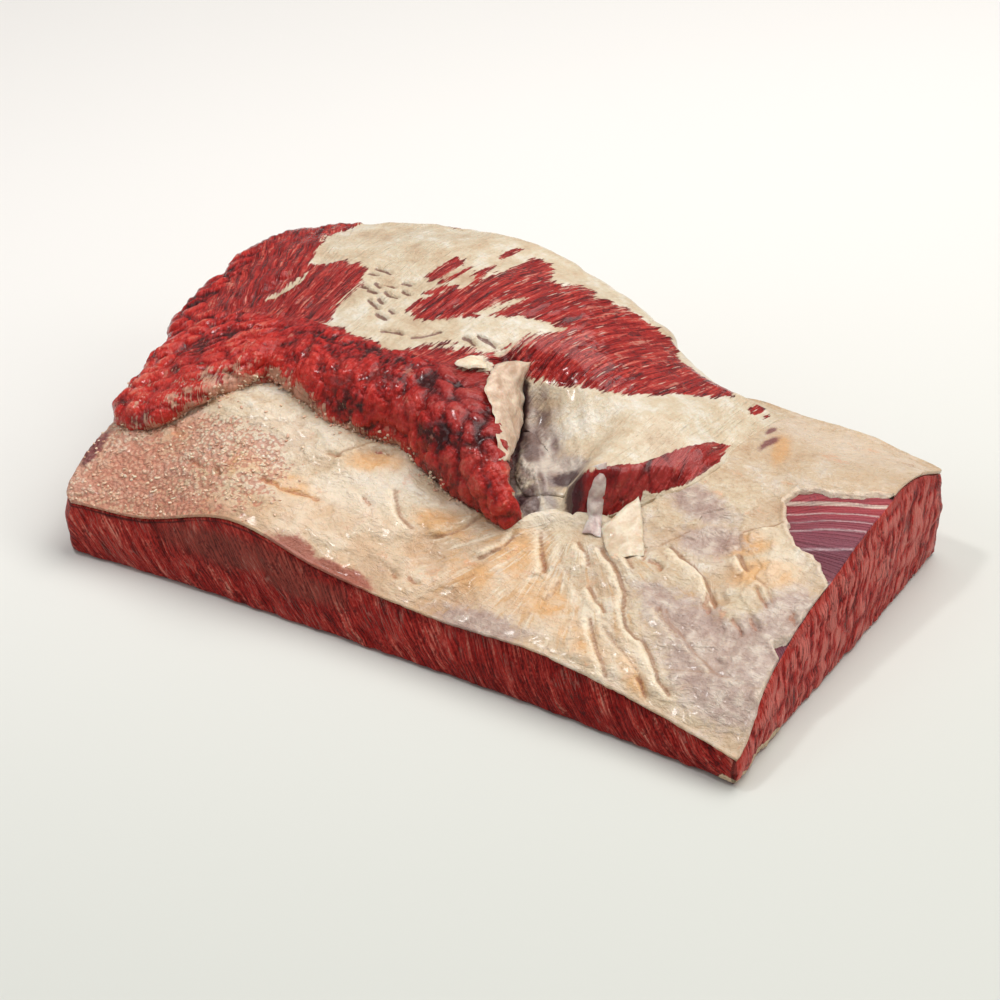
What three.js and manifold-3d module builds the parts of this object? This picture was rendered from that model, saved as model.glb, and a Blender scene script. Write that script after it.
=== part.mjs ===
// A raw beef brisket, lying fat side up: a slab of lean (the flat muscle) with two straight knife cuts, the
// layer of fat that covers it, and the second, smaller muscle (the point) lying on the fat at the thick end.
// Millimetres. Measured from the middle of the front cut: x along that cut, y back across the meat, z up.

import * as THREE from "three";
import { mergeVertices } from "three/addons/utils/BufferGeometryUtils.js";
import Module from "manifold-3d";

const wasm = await Module();
wasm.setup();

// Driving sizes
const CUT_LENGTH = 420; // the long front cut, corner to corner
const HALF = CUT_LENGTH / 2;
const FOOT_BOW = 6; // how far the middle of the front cut is drawn in at its foot
const BROW_BOW = 13; // and at its upper edge
const END_LEAN = 6; // the upper edge of the right-hand cut stands back this far from its foot
const LEFT_SPREAD = 1; // and the upper edge of the left side reaches out this far
const MIDDLE = { x: -17, y: 142 }; // the middle of the plan, which becomes the origin
const LAYER_GAP = 0.3; // between the slab and the fat, and between the fat and the point muscle
const RIM_LIFT = 0.8; // the point muscle's rim starts this high over the fat
const LEAST_DEPTH = 4; // the point muscle is nowhere thinner than this
const SUNK = 8; // its rough underside starts this far inside the fat, before it is cut to fit
const FOOT_ROUND = 2.5; // how far the slab's bottom edge is rounded in
const FOOT_LIFT = 2; // how high that rounding starts
const SLAB_BELLY = 2.2; // how far the cut sides swell at half height
const SLAB_LUMPS = { size: 16, height: 1.5 };
const POINT_LUMPS = { size: 19, height: 6 };

// The lines that the rings of the slab and of the point muscle shrink towards
const SLAB_SPINE = { y: 130, from: -128, to: 118 };
const POINT_SPINE = { y: 192, from: -152, to: 30 };

// Height of the fat's upper face over the board, at these places along x and y
const LOWER_X = [-235, -150, -60, 40, 120, 210];
const LOWER_Y = [0, 45, 100, 150, 200, 270];
const LOWER_HEIGHTS = [
  [34, 49, 56, 58, 54, 44],
  [44, 62, 76, 68, 58, 46],
  [35, 52, 66, 64, 58, 46],
  [27, 41, 54, 58, 60, 50],
  [28, 41, 54, 65, 70, 59],
  [20, 37, 52, 63, 70, 52],
];
// The upper edge of the front cut dips and rises more quickly than the rest
const FRONT_X = [-210, -165, -108, -50, 20, 90, 150, 210];
const FRONT_HEIGHTS = [36, 34, 47, 33, 28, 30, 24, 19];
const FRONT_REACH = 45;

// Depth of the fat: a skin along the cuts, deeper where it wraps the point muscle
const FAT_SKIN = 3;
const FAT_MOST = 14;

// Height of the point muscle's upper face over the board
const UPPER_X = [-240, -190, -130, -70, -10, 50, 105];
const UPPER_Y = [60, 120, 180, 230, 285];
const UPPER_HEIGHTS = [
  [57, 66, 80, 93, 84],
  [73, 84, 97, 102, 94],
  [87, 97, 106, 112, 105],
  [93, 100, 108, 115, 111],
  [90, 95, 102, 106, 96],
  [78, 84, 87, 81, 68],
  [62, 66, 74, 71, 61],
];

// How wide the point muscle's rim is rounded: broadly at the front, tightly round the other sides
const FRONT_BROW = 30;
const SIDE_BROW = 13;
const STRIP_BROW = 10;

// The hollow where the point muscle's front is drawn together: steep on its left, open to the right
const HOLLOW = { from: [-24, 172], to: [30, 94], depth: 34, steep: 9, open: 26, opening: 30 };

// The patch where the fat has been pulled off and the sheathed lean shows
const BARE_PATCH = [
  [240, 112],
  [203, 114],
  [193, 128],
  [180, 131],
  [170, 140],
  [160, 152],
  [154, 162],
  [158, 172],
  [182, 181],
  [204, 193],
  [240, 197],
];

// Cubic interpolation through values at given places
function through(places, values, at) {
  const last = places.length - 1;
  let k = 0;
  while (k < last - 1 && at > places[k + 1]) k++;
  const slope = (i) => {
    const a = Math.max(i - 1, 0);
    const b = Math.min(i + 1, last);
    return (values[b] - values[a]) / (places[b] - places[a]);
  };
  const span = places[k + 1] - places[k];
  const t = THREE.MathUtils.clamp((at - places[k]) / span, 0, 1);
  const rise = values[k + 1] - values[k];
  const m0 = slope(k) * span;
  const m1 = slope(k + 1) * span;
  return values[k] + m0 * t + (3 * rise - 2 * m0 - m1) * t * t + (m0 + m1 - 2 * rise) * t ** 3;
}

function surface(xs, ys, table, x, y) {
  const column = table.map((row) => through(ys, row, y));
  return through(xs, column, x);
}

const ease = THREE.MathUtils.smoothstep;

// A repeatable number between 0 and 1 for each point of a lattice
function chance(i, j, k) {
  const s = Math.sin(i * 127.1 + j * 311.7 + k * 74.7) * 43758.5453;
  return s - Math.floor(s);
}

// Rounded lumps about `size` across: 1 on a lump's crown, near 0 between lumps
function lumps(x, y, z, size) {
  const p = [x / size, y / size, z / size];
  const cell = p.map(Math.floor);
  let nearest = 1;
  for (let i = -1; i <= 1; i++)
    for (let j = -1; j <= 1; j++)
      for (let k = -1; k <= 1; k++) {
        const [a, b, c] = [cell[0] + i, cell[1] + j, cell[2] + k];
        const away = Math.hypot(
          a + chance(a, b, c) - p[0],
          b + chance(b + 31, c, a) - p[1],
          c + chance(c + 57, a, b) - p[2],
        );
        nearest = Math.min(nearest, away);
      }
  return 1 - nearest ** 2;
}

// Gentle swells between -1 and 1
function swell(x, y, size) {
  const across = Math.sin(x / size + 1.3 * Math.sin(y / size + 0.4));
  const back = Math.sin(y / (0.8 * size) + 1.1 * Math.sin(x / size + 2.1));
  return (across + back) / 2;
}

// How far the front cut is drawn in, at its foot (level 0) or its upper edge (level 1)
function frontLine(x, level = 1) {
  const bow = THREE.MathUtils.lerp(FOOT_BOW, BROW_BOW, level);
  return bow * (1 - Math.min(1, Math.abs(x / HALF)) ** 3);
}

// Upper face of the fat
function lowerTop(x, y) {
  const depth = y - frontLine(x);
  const table = surface(LOWER_X, LOWER_Y, LOWER_HEIGHTS, x, y);
  const edge = through(FRONT_X, FRONT_HEIGHTS, x) - surface(LOWER_X, LOWER_Y, LOWER_HEIGHTS, x, 0);
  return table + edge * (1 - ease(depth, 0, FRONT_REACH)) + 1.6 * ease(depth, 6, 40) * swell(x, y, 13);
}

function fatDepth(x, y) {
  const inner = ease(y - frontLine(x), 10, 90) * (1 - ease(x, 60, 170)) * (1 - 0.5 * ease(y, 200, 270));
  return THREE.MathUtils.lerp(FAT_SKIN, FAT_MOST, inner);
}

const slabTop = (x, y) => lowerTop(x, y) - fatDepth(x, y) - LAYER_GAP;

// How far the hollow sinks the point muscle's upper face
function hollow(x, y) {
  const [ax, ay] = HOLLOW.from;
  const [dx, dy] = [HOLLOW.to[0] - ax, HOLLOW.to[1] - ay];
  const length = Math.hypot(dx, dy);
  const along = ((x - ax) * dx + (y - ay) * dy) / length ** 2;
  const side = ((y - ay) * dx - (x - ax) * dy) / length;
  const width = side < 0 ? HOLLOW.steep : HOLLOW.open + HOLLOW.opening * THREE.MathUtils.clamp(along, 0, 1);
  const ends = ease(along, -0.15, 0.35) * (1 - ease(x, 44, 64));
  return HOLLOW.depth * ends * Math.exp(-((side / width) ** 2));
}

function upperTop(x, y) {
  return surface(UPPER_X, UPPER_Y, UPPER_HEIGHTS, x, y) - hollow(x, y) + 1.2 * swell(x, y, 17);
}

function browWidth(x, y) {
  const front = THREE.MathUtils.lerp(FRONT_BROW, STRIP_BROW, ease(x, 10, 50));
  const aside = Math.max(ease(y, 200, 245), 1 - ease(x, -225, -200));
  return THREE.MathUtils.lerp(front, SIDE_BROW, aside);
}

// Points evenly spaced along a smooth curve, without its last one
function run(points, count) {
  const curve = new THREE.SplineCurve(points.map(([x, y]) => new THREE.Vector2(x, y)));
  return curve.getSpacedPoints(count).slice(0, -1);
}

// The slab's outline at its foot (level 0) or its upper edge (level 1), from the front left corner round
function slabOutline(level) {
  const lean = level * END_LEAN;
  const left = level * LEFT_SPREAD;
  const FRONT_STEPS = 40;
  const front = [];
  for (let k = 0; k < FRONT_STEPS; k++) {
    const x = THREE.MathUtils.lerp(-HALF, HALF, k / FRONT_STEPS);
    front.push(new THREE.Vector2(x, frontLine(x, level)));
  }
  const rightCut = [
    [210, 0],
    [209 - 0.6 * lean, 35],
    [208 - lean, 75],
    [209 - lean, 140],
    [208 - 0.6 * lean, 205],
    [208, 246],
  ];
  const backSide = [
    [208, 246],
    [202, 252],
    [150, 256],
    [80, 263],
    [0, 272],
    [-80, 279],
    [-150, 281],
    [-185, 274],
  ];
  const leftSide = [
    [-185, 274],
    [-210, 258],
    [-224 - left, 225],
    [-228 - left, 180],
    [-225 - left, 120],
    [-221 - left, 60],
    [-217 - left, 12],
    [-HALF, 0],
  ];
  return [...front, ...run(rightCut, 22), ...run(backSide, 36), ...run(leftSide, 26)];
}

// The point muscle's foot, anticlockwise from its front left tip
function pointOutline() {
  const front = [
    [-216, 59],
    [-196, 54],
    [-176, 78],
    [-163, 96],
    [-149, 113],
    [-116, 104],
    [-83, 100],
    [-54, 104],
    [-27, 92],
    [1, 86],
    [27, 80],
  ];
  const right = [
    [27, 80],
    [42, 98],
    [64, 107],
    [77, 118],
    [90, 136],
    [103, 150],
    [108, 168],
    [107, 190],
    [110, 218],
    [112, 252],
  ];
  const back = [
    [112, 252],
    [80, 262],
    [0, 272],
    [-80, 281],
    [-150, 283],
    [-186, 272],
  ];
  const left = [
    [-186, 272],
    [-214, 252],
    [-234, 222],
    [-243, 182],
    [-242, 146],
    [-226, 126],
    [-226, 106],
    [-224, 84],
    [-216, 59],
  ];
  return [...run(front, 38), ...run(right, 18), ...run(back, 26), ...run(left, 22)];
}

// The outline drawn in towards a spine: 0 is the outline itself and 1 the spine
function drawnIn(outline, spine, share) {
  return outline.map((p) => {
    const x = THREE.MathUtils.clamp(p.x, spine.from, spine.to);
    return new THREE.Vector2(THREE.MathUtils.lerp(p.x, x, share), THREE.MathUtils.lerp(p.y, spine.y, share));
  });
}

const lifted = (ring, height) => ring.map((p) => new THREE.Vector3(p.x, p.y, height(p.x, p.y)));

// The outward direction in plan at each point of an outline
function outward(outline) {
  return outline.map((p, k) => {
    const before = outline.at(k - 1);
    const after = outline[(k + 1) % outline.length];
    return new THREE.Vector2(after.y - before.y, before.x - after.x).normalize();
  });
}

// One closed solid from rings of equal count: neighbours are joined, and the first and last are filled in.
// The quads of the first `turned` bands are split along their other diagonal, to match a facing solid.
function ringSolid(rings, turned = 0) {
  const count = rings[0].length;
  const positions = [];
  const faces = [];
  rings.forEach((ring) => ring.forEach((p) => positions.push(p.x, p.y, p.z)));
  for (let r = 0; r < rings.length - 1; r++)
    for (let k = 0; k < count; k++) {
      const a = r * count + k;
      const b = r * count + ((k + 1) % count);
      if (r < turned) faces.push(a, b, b + count, a, b + count, a + count);
      else faces.push(a, b, a + count, b, b + count, a + count);
    }
  // An end ring is a narrow strip: its two long sides are joined from its left end to its right end
  const lid = (ring, first, up) => {
    const left = ring.reduce((best, p, k) => (p.x < ring[best].x ? k : best), 0);
    const at = (k) => (left + k + count) % count;
    let front = 0;
    let back = 1;
    while (front + back < count - 1) {
      const ahead = ring[at(front + 1)].x < ring[at(-back - 1)].x;
      const next = ahead ? at(front + 1) : at(-back - 1);
      const [a, b, c] = [at(front), next, at(-back)];
      faces.push(...(up ? [a, b, c] : [a, c, b]).map((i) => i + first));
      if (ahead) front++;
      else back++;
    }
  };
  lid(rings[0], 0, false);
  lid(rings[rings.length - 1], (rings.length - 1) * count, true);
  const geometry = new THREE.BufferGeometry();
  geometry.setAttribute("position", new THREE.Float32BufferAttribute(positions, 3));
  geometry.setIndex(faces);
  return geometry;
}

const SLAB_FOOT = slabOutline(0);
const SLAB_BRIM = slabOutline(1);
const CLOSED = 0.985; // the innermost ring stops just short of its spine
const UNDERSIDE_SHARES = [CLOSED, 0.5, 0.12];
const FACING_SHARES = [CLOSED, 0.65, 0.35, 0.12, 0]; // rings of the face between the slab and the fat

// The slab of lean: its underside, its cut sides and the upper face that carries the fat
function flatMuscle() {
  const SIDE_ROWS = 5;
  const out = outward(SLAB_FOOT);
  const rings = UNDERSIDE_SHARES.map((share) => lifted(drawnIn(SLAB_FOOT, SLAB_SPINE, share), () => 0));
  const sole = SLAB_FOOT.map((p, k) => p.clone().addScaledVector(out[k], -FOOT_ROUND));
  rings.push(lifted(sole, () => 0));
  for (let row = 0; row < SIDE_ROWS; row++) {
    const share = row / SIDE_ROWS;
    rings.push(
      SLAB_FOOT.map((p, k) => {
        const at = new THREE.Vector2().lerpVectors(p, SLAB_BRIM[k], share);
        const z = THREE.MathUtils.lerp(FOOT_LIFT, slabTop(SLAB_BRIM[k].x, SLAB_BRIM[k].y), share);
        const crown = lumps(at.x, at.y, z, SLAB_LUMPS.size) - 0.6;
        const belly = SLAB_BELLY * Math.sin(Math.PI * share) + SLAB_LUMPS.height * crown;
        return new THREE.Vector3(at.x + out[k].x * belly, at.y + out[k].y * belly, z);
      }),
    );
  }
  const facing = FACING_SHARES.map((share) => lifted(drawnIn(SLAB_BRIM, SLAB_SPINE, share), slabTop));
  return ringSolid([...rings, ...facing.reverse()]);
}

// Rings of the fat's upper face, from its brim inwards
function fatTop() {
  const TOP_RINGS = 12;
  const rings = [];
  for (let r = 0; r < TOP_RINGS; r++) {
    const share = CLOSED * (r / (TOP_RINGS - 1)) ** 1.1;
    rings.push(lifted(drawnIn(SLAB_BRIM, SLAB_SPINE, share), lowerTop));
  }
  return rings;
}

function fatLayer() {
  const under = (x, y) => slabTop(x, y) + LAYER_GAP;
  const rings = FACING_SHARES.map((share) => lifted(drawnIn(SLAB_BRIM, SLAB_SPINE, share), under));
  return ringSolid([...rings, ...fatTop()], FACING_SHARES.length - 1);
}

// Everything below the fat's upper face, from which the point muscle's underside takes its form
function bed() {
  const floor = [CLOSED, 0].map((share) => lifted(drawnIn(SLAB_BRIM, SLAB_SPINE, share), () => 0));
  return ringSolid([...floor, ...fatTop()]);
}

function barePatch() {
  const HIGH_ENOUGH = 120;
  const shape = new THREE.Shape(BARE_PATCH.map(([x, y]) => new THREE.Vector2(x, y)));
  return new THREE.ExtrudeGeometry(shape, { depth: HIGH_ENOUGH, bevelEnabled: false });
}

// The point muscle: a rounded lumpy cut face all round and a broad upper face
function pointMuscle() {
  const BROW_RINGS = 6;
  const TOP_RINGS = 9;
  const foot = pointOutline();
  const out = outward(foot);
  const rim = (x, y) => lowerTop(x, y) + RIM_LIFT;
  const height = (x, y, base) => Math.max(upperTop(x, y), base + LEAST_DEPTH);
  const underside = (x, y) => lowerTop(x, y) - SUNK;
  const rings = [0.9, 0.1].map((share) => lifted(drawnIn(foot, POINT_SPINE, share), underside));
  rings.push(lifted(foot, rim));

  const heart = drawnIn(foot, POINT_SPINE, 1);
  const shares = foot.map((p, k) => browWidth(p.x, p.y) / p.distanceTo(heart[k]));
  for (let r = 1; r <= BROW_RINGS; r++) {
    const turn = ((r / BROW_RINGS) * Math.PI) / 2;
    rings.push(
      foot.map((p, k) => {
        const q = new THREE.Vector2().lerpVectors(p, heart[k], shares[k] * (1 - Math.cos(turn)));
        const base = rim(p.x, p.y);
        const z = THREE.MathUtils.lerp(base, height(q.x, q.y, base), Math.sin(turn));
        const crown = lumps(q.x, q.y, z, POINT_LUMPS.size) * Math.sin(2 * turn);
        const bulge = POINT_LUMPS.height * crown;
        return new THREE.Vector3(q.x + out[k].x * bulge, q.y + out[k].y * bulge, z + 0.3 * bulge);
      }),
    );
  }
  for (let r = 1; r <= TOP_RINGS; r++) {
    const upper = foot.map((p, k) => {
      const share = THREE.MathUtils.lerp(shares[k], CLOSED, r / TOP_RINGS);
      return new THREE.Vector2().lerpVectors(p, heart[k], share);
    });
    rings.push(lifted(upper, (x, y) => height(x, y, rim(x, y))));
  }
  return ringSolid(rings);
}

// Boolean cut of one closed shape by another, which is first lifted by `gap`
function solid(geometry) {
  const bare = new THREE.BufferGeometry();
  bare.setAttribute("position", geometry.getAttribute("position"));
  bare.setIndex(geometry.getIndex());
  const merged = mergeVertices(bare, 1e-3);
  return new wasm.Manifold(
    new wasm.Mesh({
      numProp: 3,
      vertProperties: merged.attributes.position.array,
      triVerts: new Uint32Array(merged.index.array),
    }),
  );
}

function cut(body, tool, gap = 0) {
  const mesh = solid(body).subtract(solid(tool).translate([0, 0, gap])).getMesh();
  const geometry = new THREE.BufferGeometry();
  geometry.setAttribute("position", new THREE.BufferAttribute(new Float32Array(mesh.vertProperties), 3));
  geometry.setIndex(new THREE.BufferAttribute(new Uint32Array(mesh.triVerts), 1));
  return geometry;
}

const lean = new THREE.MeshStandardMaterial({ color: 0x8f2f2b, roughness: 0.45, metalness: 0 });
const redLean = new THREE.MeshStandardMaterial({ color: 0xa3352d, roughness: 0.35, metalness: 0 });
const fat = new THREE.MeshStandardMaterial({ color: 0xe6d6bc, roughness: 0.5, metalness: 0 });

function part(name, geometry, material) {
  geometry.computeVertexNormals();
  const mesh = new THREE.Mesh(geometry, material);
  mesh.name = name;
  return mesh;
}

const brisket = new THREE.Group();
brisket.name = "brisket";
brisket.add(part("flat_muscle", flatMuscle(), lean));
brisket.add(part("fat_layer", cut(fatLayer(), barePatch()), fat));
brisket.add(part("point_muscle", cut(pointMuscle(), bed(), LAYER_GAP), redLean));
brisket.position.set(-MIDDLE.x, -MIDDLE.y, 0);

export default brisket;
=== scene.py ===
# %% [markdown]
# # A raw beef brisket
#
# A cut of meat has no straight edges and no repeats, so nothing here is modelled by hand. Each muscle and the
# fat between them is a *sheet of rings*: outlines seen from above, drawn in towards a line and lifted to a height.
# Close rings carry the relief, and attributes stored on the points tell the materials which tissue shows where.
#
# All design sizes are millimetres from the middle of the front cut: x along it, y back, z up.

# %% Load the frame
import math

import bmesh
import bpy
import numpy as np
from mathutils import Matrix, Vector


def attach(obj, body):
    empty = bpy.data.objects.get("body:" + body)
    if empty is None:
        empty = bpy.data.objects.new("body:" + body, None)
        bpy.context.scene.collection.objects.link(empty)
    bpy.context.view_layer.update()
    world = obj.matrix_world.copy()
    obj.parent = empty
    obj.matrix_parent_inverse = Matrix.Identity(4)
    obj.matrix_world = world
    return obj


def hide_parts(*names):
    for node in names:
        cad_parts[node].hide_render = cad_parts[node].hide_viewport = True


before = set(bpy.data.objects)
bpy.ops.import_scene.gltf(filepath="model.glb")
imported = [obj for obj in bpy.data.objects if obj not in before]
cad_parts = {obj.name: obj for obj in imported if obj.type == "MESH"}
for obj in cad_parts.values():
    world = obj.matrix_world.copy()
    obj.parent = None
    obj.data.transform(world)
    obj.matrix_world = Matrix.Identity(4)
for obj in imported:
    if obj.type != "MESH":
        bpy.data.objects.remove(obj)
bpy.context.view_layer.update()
print("nodes:", sorted(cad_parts))

# %% [markdown]
# ## Named sizes
#
# These are the sizes that the solids were made from. The rings below follow the same outlines and heights, only
# with far more points, so the dressed meat keeps the form of its solids.

# %% Sizes of the meat
MM = 0.001
MIDDLE = np.array([-17.0, 142.0])
HALF = 210.0
FOOT_BOW, BROW_BOW = 6.0, 13.0
END_LEAN, LEFT_SPREAD = 6.0, 1.0
LAYER_GAP, RIM_LIFT, LEAST_DEPTH, SUNK = 0.3, 0.8, 4.0, 8.0
FOOT_ROUND, FOOT_LIFT = 2.5, 2.0
SLAB_BELLY = 2.2
SLAB_SPINE = (130.0, -128.0, 118.0)
POINT_SPINE = (192.0, -152.0, 30.0)
CLOSED = 0.985

LOWER_X = [-235, -150, -60, 40, 120, 210]
LOWER_Y = [0, 45, 100, 150, 200, 270]
LOWER_HEIGHTS = [
    [34, 49, 56, 58, 54, 44],
    [44, 62, 76, 68, 58, 46],
    [35, 52, 66, 64, 58, 46],
    [27, 41, 54, 58, 60, 50],
    [28, 41, 54, 65, 70, 59],
    [20, 37, 52, 63, 70, 52],
]
FRONT_X = [-210, -165, -108, -50, 20, 90, 150, 210]
FRONT_HEIGHTS = [36, 34, 47, 33, 28, 30, 24, 19]
FRONT_REACH = 45.0
FAT_SKIN, FAT_MOST = 3.0, 14.0

UPPER_X = [-240, -190, -130, -70, -10, 50, 105]
UPPER_Y = [60, 120, 180, 230, 285]
UPPER_HEIGHTS = [
    [57, 66, 80, 93, 84],
    [73, 84, 97, 102, 94],
    [87, 97, 106, 112, 105],
    [93, 100, 108, 115, 111],
    [90, 95, 102, 106, 96],
    [78, 84, 87, 81, 68],
    [62, 66, 74, 71, 61],
]
FRONT_BROW, SIDE_BROW, STRIP_BROW = 30.0, 13.0, 10.0
HOLLOW_FROM, HOLLOW_TO = (-24.0, 172.0), (30.0, 94.0)
HOLLOW_DEPTH, HOLLOW_STEEP, HOLLOW_OPEN, HOLLOW_OPENING = 34.0, 9.0, 26.0, 30.0

# %% [markdown]
# ## Small mathematical tools
#
# `through` is a smooth curve through named heights, `surface` the same in two directions. `lumps` gives rounded
# bulges (the nearest point of a jittered lattice), and `wander` gives soft random hills. Both are worked out from
# whole numbers alone, so the meat comes out the same on every run.

# %% Curves, eases and noise
def through(places, values, at):
    """A cubic curve through the values at these places; the values can be one row, or one row per point."""
    places, values, at = np.asarray(places, float), np.asarray(values, float), np.asarray(at, float)
    last = len(places) - 1
    before, after = np.maximum(np.arange(last + 1) - 1, 0), np.minimum(np.arange(last + 1) + 1, last)
    run = (places[after] - places[before]).reshape([-1] + [1] * (values.ndim - 1))
    slopes = (values[after] - values[before]) / run
    k = np.clip(np.searchsorted(places[1:-1], at, side="left"), 0, last - 1)
    pick = (lambda a, i: a[i]) if values.ndim == 1 else (lambda a, i: np.take_along_axis(a, i[None], 0)[0])
    span = places[k + 1] - places[k]
    t = np.clip((at - places[k]) / span, 0, 1)
    low, rise = pick(values, k), pick(values, k + 1) - pick(values, k)
    m0, m1 = pick(slopes, k) * span, pick(slopes, k + 1) * span
    return low + m0 * t + (3 * rise - 2 * m0 - m1) * t**2 + (m0 + m1 - 2 * rise) * t**3


def surface(xs, ys, table, x, y):
    return through(xs, np.array([through(ys, row, y) for row in table]), x)


def ease(value, low, high):
    t = np.clip((np.asarray(value, float) - low) / (high - low), 0, 1)
    return t * t * (3 - 2 * t)


def lerp(a, b, t):
    return a + (b - a) * t


def chance(i, j, k):
    """A repeatable number between 0 and 1 for each point of a lattice."""
    s = np.sin(i * 127.1 + j * 311.7 + k * 74.7) * 43758.5453
    return s - np.floor(s)


def cells(x, y, z, size):
    """Distances, in cell sizes, to the nearest and second nearest point of a jittered lattice."""
    p = np.stack([x / size, y / size, z / size])
    cell = np.floor(p)
    first, second = np.full(p.shape[1:], 9.0), np.full(p.shape[1:], 9.0)
    for i in (-1, 0, 1):
        for j in (-1, 0, 1):
            for k in (-1, 0, 1):
                a, b, c = cell[0] + i, cell[1] + j, cell[2] + k
                away = np.sqrt(
                    (a + chance(a, b, c) - p[0]) ** 2
                    + (b + chance(b + 31, c, a) - p[1]) ** 2
                    + (c + chance(c + 57, a, b) - p[2]) ** 2
                )
                second = np.minimum(second, np.maximum(first, away))
                first = np.minimum(first, away)
    return first, second


def lumps(x, y, z, size):
    """1 on the top of a rounded lump about `size` across, near 0 between lumps."""
    return 1 - np.minimum(1, cells(x, y, z, size)[0]) ** 2


def grapes(x, y, z, size):
    """Like lumps, but packed tight: each one full to its edge, with a deep narrow groove between."""
    first, second = cells(x, y, z, size)
    return 0.5 * (1 - np.minimum(1, first) ** 2) + 0.5 * ease(second - first, 0.0, 0.32)


def wander(x, y, z, size):
    """Soft random hills between -1 and 1, about `size` across."""
    p = [np.asarray(v, float) / size for v in np.broadcast_arrays(x, y, z)]
    cell = [np.floor(v) for v in p]
    part = [v - c for v, c in zip(p, cell)]
    soft = [v * v * (3 - 2 * v) for v in part]
    total = 0.0
    for i in (0, 1):
        for j in (0, 1):
            for k in (0, 1):
                weight = (soft[0] if i else 1 - soft[0]) * (soft[1] if j else 1 - soft[1]) * (soft[2] if k else 1 - soft[2])
                total = total + weight * chance(cell[0] + i, cell[1] + j, cell[2] + k)
    return 2 * total - 1


def crest(x, y, z, size, turn=0.6):
    """Sharp-crested wrinkles about `size` apart: 1 on a crest, lower on both sides of it."""
    c, s = math.cos(turn), math.sin(turn)
    return 1 - np.abs(wander(c * x - s * y, s * x + c * y, z, size))


def flakes(x, y, size):
    """Torn layers: flat steps with steep ragged edges, about `size` across."""
    u, v = x + 4 * wander(x, y, 0 * x, 9.0), y + 4 * wander(x, y, 0 * x + 7, 9.0)
    value = 1.6 * wander(u, v, 0 * x + 2, size) + 0.5 * wander(u, v, 0 * x + 5, size / 3)
    return np.floor(value) + ease(value - np.floor(value), 0, 0.22)


def swell(x, y, size):
    across = np.sin(x / size + 1.3 * np.sin(y / size + 0.4))
    back = np.sin(y / (0.8 * size) + 1.1 * np.sin(x / size + 2.1))
    return (across + back) / 2


# %% [markdown]
# ## The heights of the meat
#
# Two surfaces matter: the upper face of the fat, and the upper face of the muscle that lies on it.

# %% Heights
def front_line(x, level=1.0):
    return lerp(FOOT_BOW, BROW_BOW, level) * (1 - np.minimum(1, np.abs(x / HALF)) ** 3)


def lower_top(x, y):
    depth = y - front_line(x)
    table = surface(LOWER_X, LOWER_Y, LOWER_HEIGHTS, x, y)
    edge = through(FRONT_X, FRONT_HEIGHTS, x) - surface(LOWER_X, LOWER_Y, LOWER_HEIGHTS, x, 0 * y)
    return table + edge * (1 - ease(depth, 0, FRONT_REACH)) + 1.6 * ease(depth, 6, 40) * swell(x, y, 13)


def fat_depth(x, y):
    inner = ease(y - front_line(x), 10, 90) * (1 - ease(x, 60, 170)) * (1 - 0.5 * ease(y, 200, 270))
    return lerp(FAT_SKIN, FAT_MOST, inner)


def slab_top(x, y):
    return lower_top(x, y) - fat_depth(x, y) - LAYER_GAP


def hollow_place(x, y):
    """How far along the hollow a point lies (0 to 1), and how far to its right-hand side in mm."""
    dx, dy = HOLLOW_TO[0] - HOLLOW_FROM[0], HOLLOW_TO[1] - HOLLOW_FROM[1]
    length = math.hypot(dx, dy)
    along = ((x - HOLLOW_FROM[0]) * dx + (y - HOLLOW_FROM[1]) * dy) / length**2
    side = ((y - HOLLOW_FROM[1]) * dx - (x - HOLLOW_FROM[0]) * dy) / length
    return along, side


def hollow(x, y):
    along, side = hollow_place(x, y)
    width = np.where(side < 0, HOLLOW_STEEP, HOLLOW_OPEN + HOLLOW_OPENING * np.clip(along, 0, 1))
    ends = ease(along, -0.15, 0.35) * (1 - ease(x, 44, 64))
    return HOLLOW_DEPTH * ends * np.exp(-((side / width) ** 2))


def upper_top(x, y):
    return surface(UPPER_X, UPPER_Y, UPPER_HEIGHTS, x, y) - hollow(x, y) + 1.2 * swell(x, y, 17)


def brow_width(x, y):
    front = lerp(FRONT_BROW, STRIP_BROW, ease(x, 10, 50))
    aside = np.maximum(ease(y, 200, 245), 1 - ease(x, -225, -200))
    return lerp(front, SIDE_BROW, aside)


# %% [markdown]
# ## The outlines
#
# A plan outline is a chain of smooth runs, walked anticlockwise, with a point every millimetre and a half or so.

# %% Outlines
def run(points, spacing):
    """Points evenly spaced along a smooth curve through these points, without the last one."""
    p = np.array(points, float)
    p = np.vstack([p[:1], p, p[-1:]])
    t = np.linspace(0, 1, 60, endpoint=False)[:, None]
    dense = []
    for a, b, c, d in zip(p, p[1:], p[2:], p[3:]):
        v0, v1 = (c - a) / 2, (d - b) / 2
        dense.append((2 * b - 2 * c + v0 + v1) * t**3 + (-3 * b + 3 * c - 2 * v0 - v1) * t**2 + v0 * t + b)
    dense = np.vstack(dense + [p[-1:]])
    length = np.concatenate([[0], np.cumsum(np.hypot(*np.diff(dense, axis=0).T))])
    at = np.linspace(0, length[-1], max(2, round(length[-1] / spacing)), endpoint=False)
    return np.stack([np.interp(at, length, dense[:, 0]), np.interp(at, length, dense[:, 1])], 1)


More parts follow.
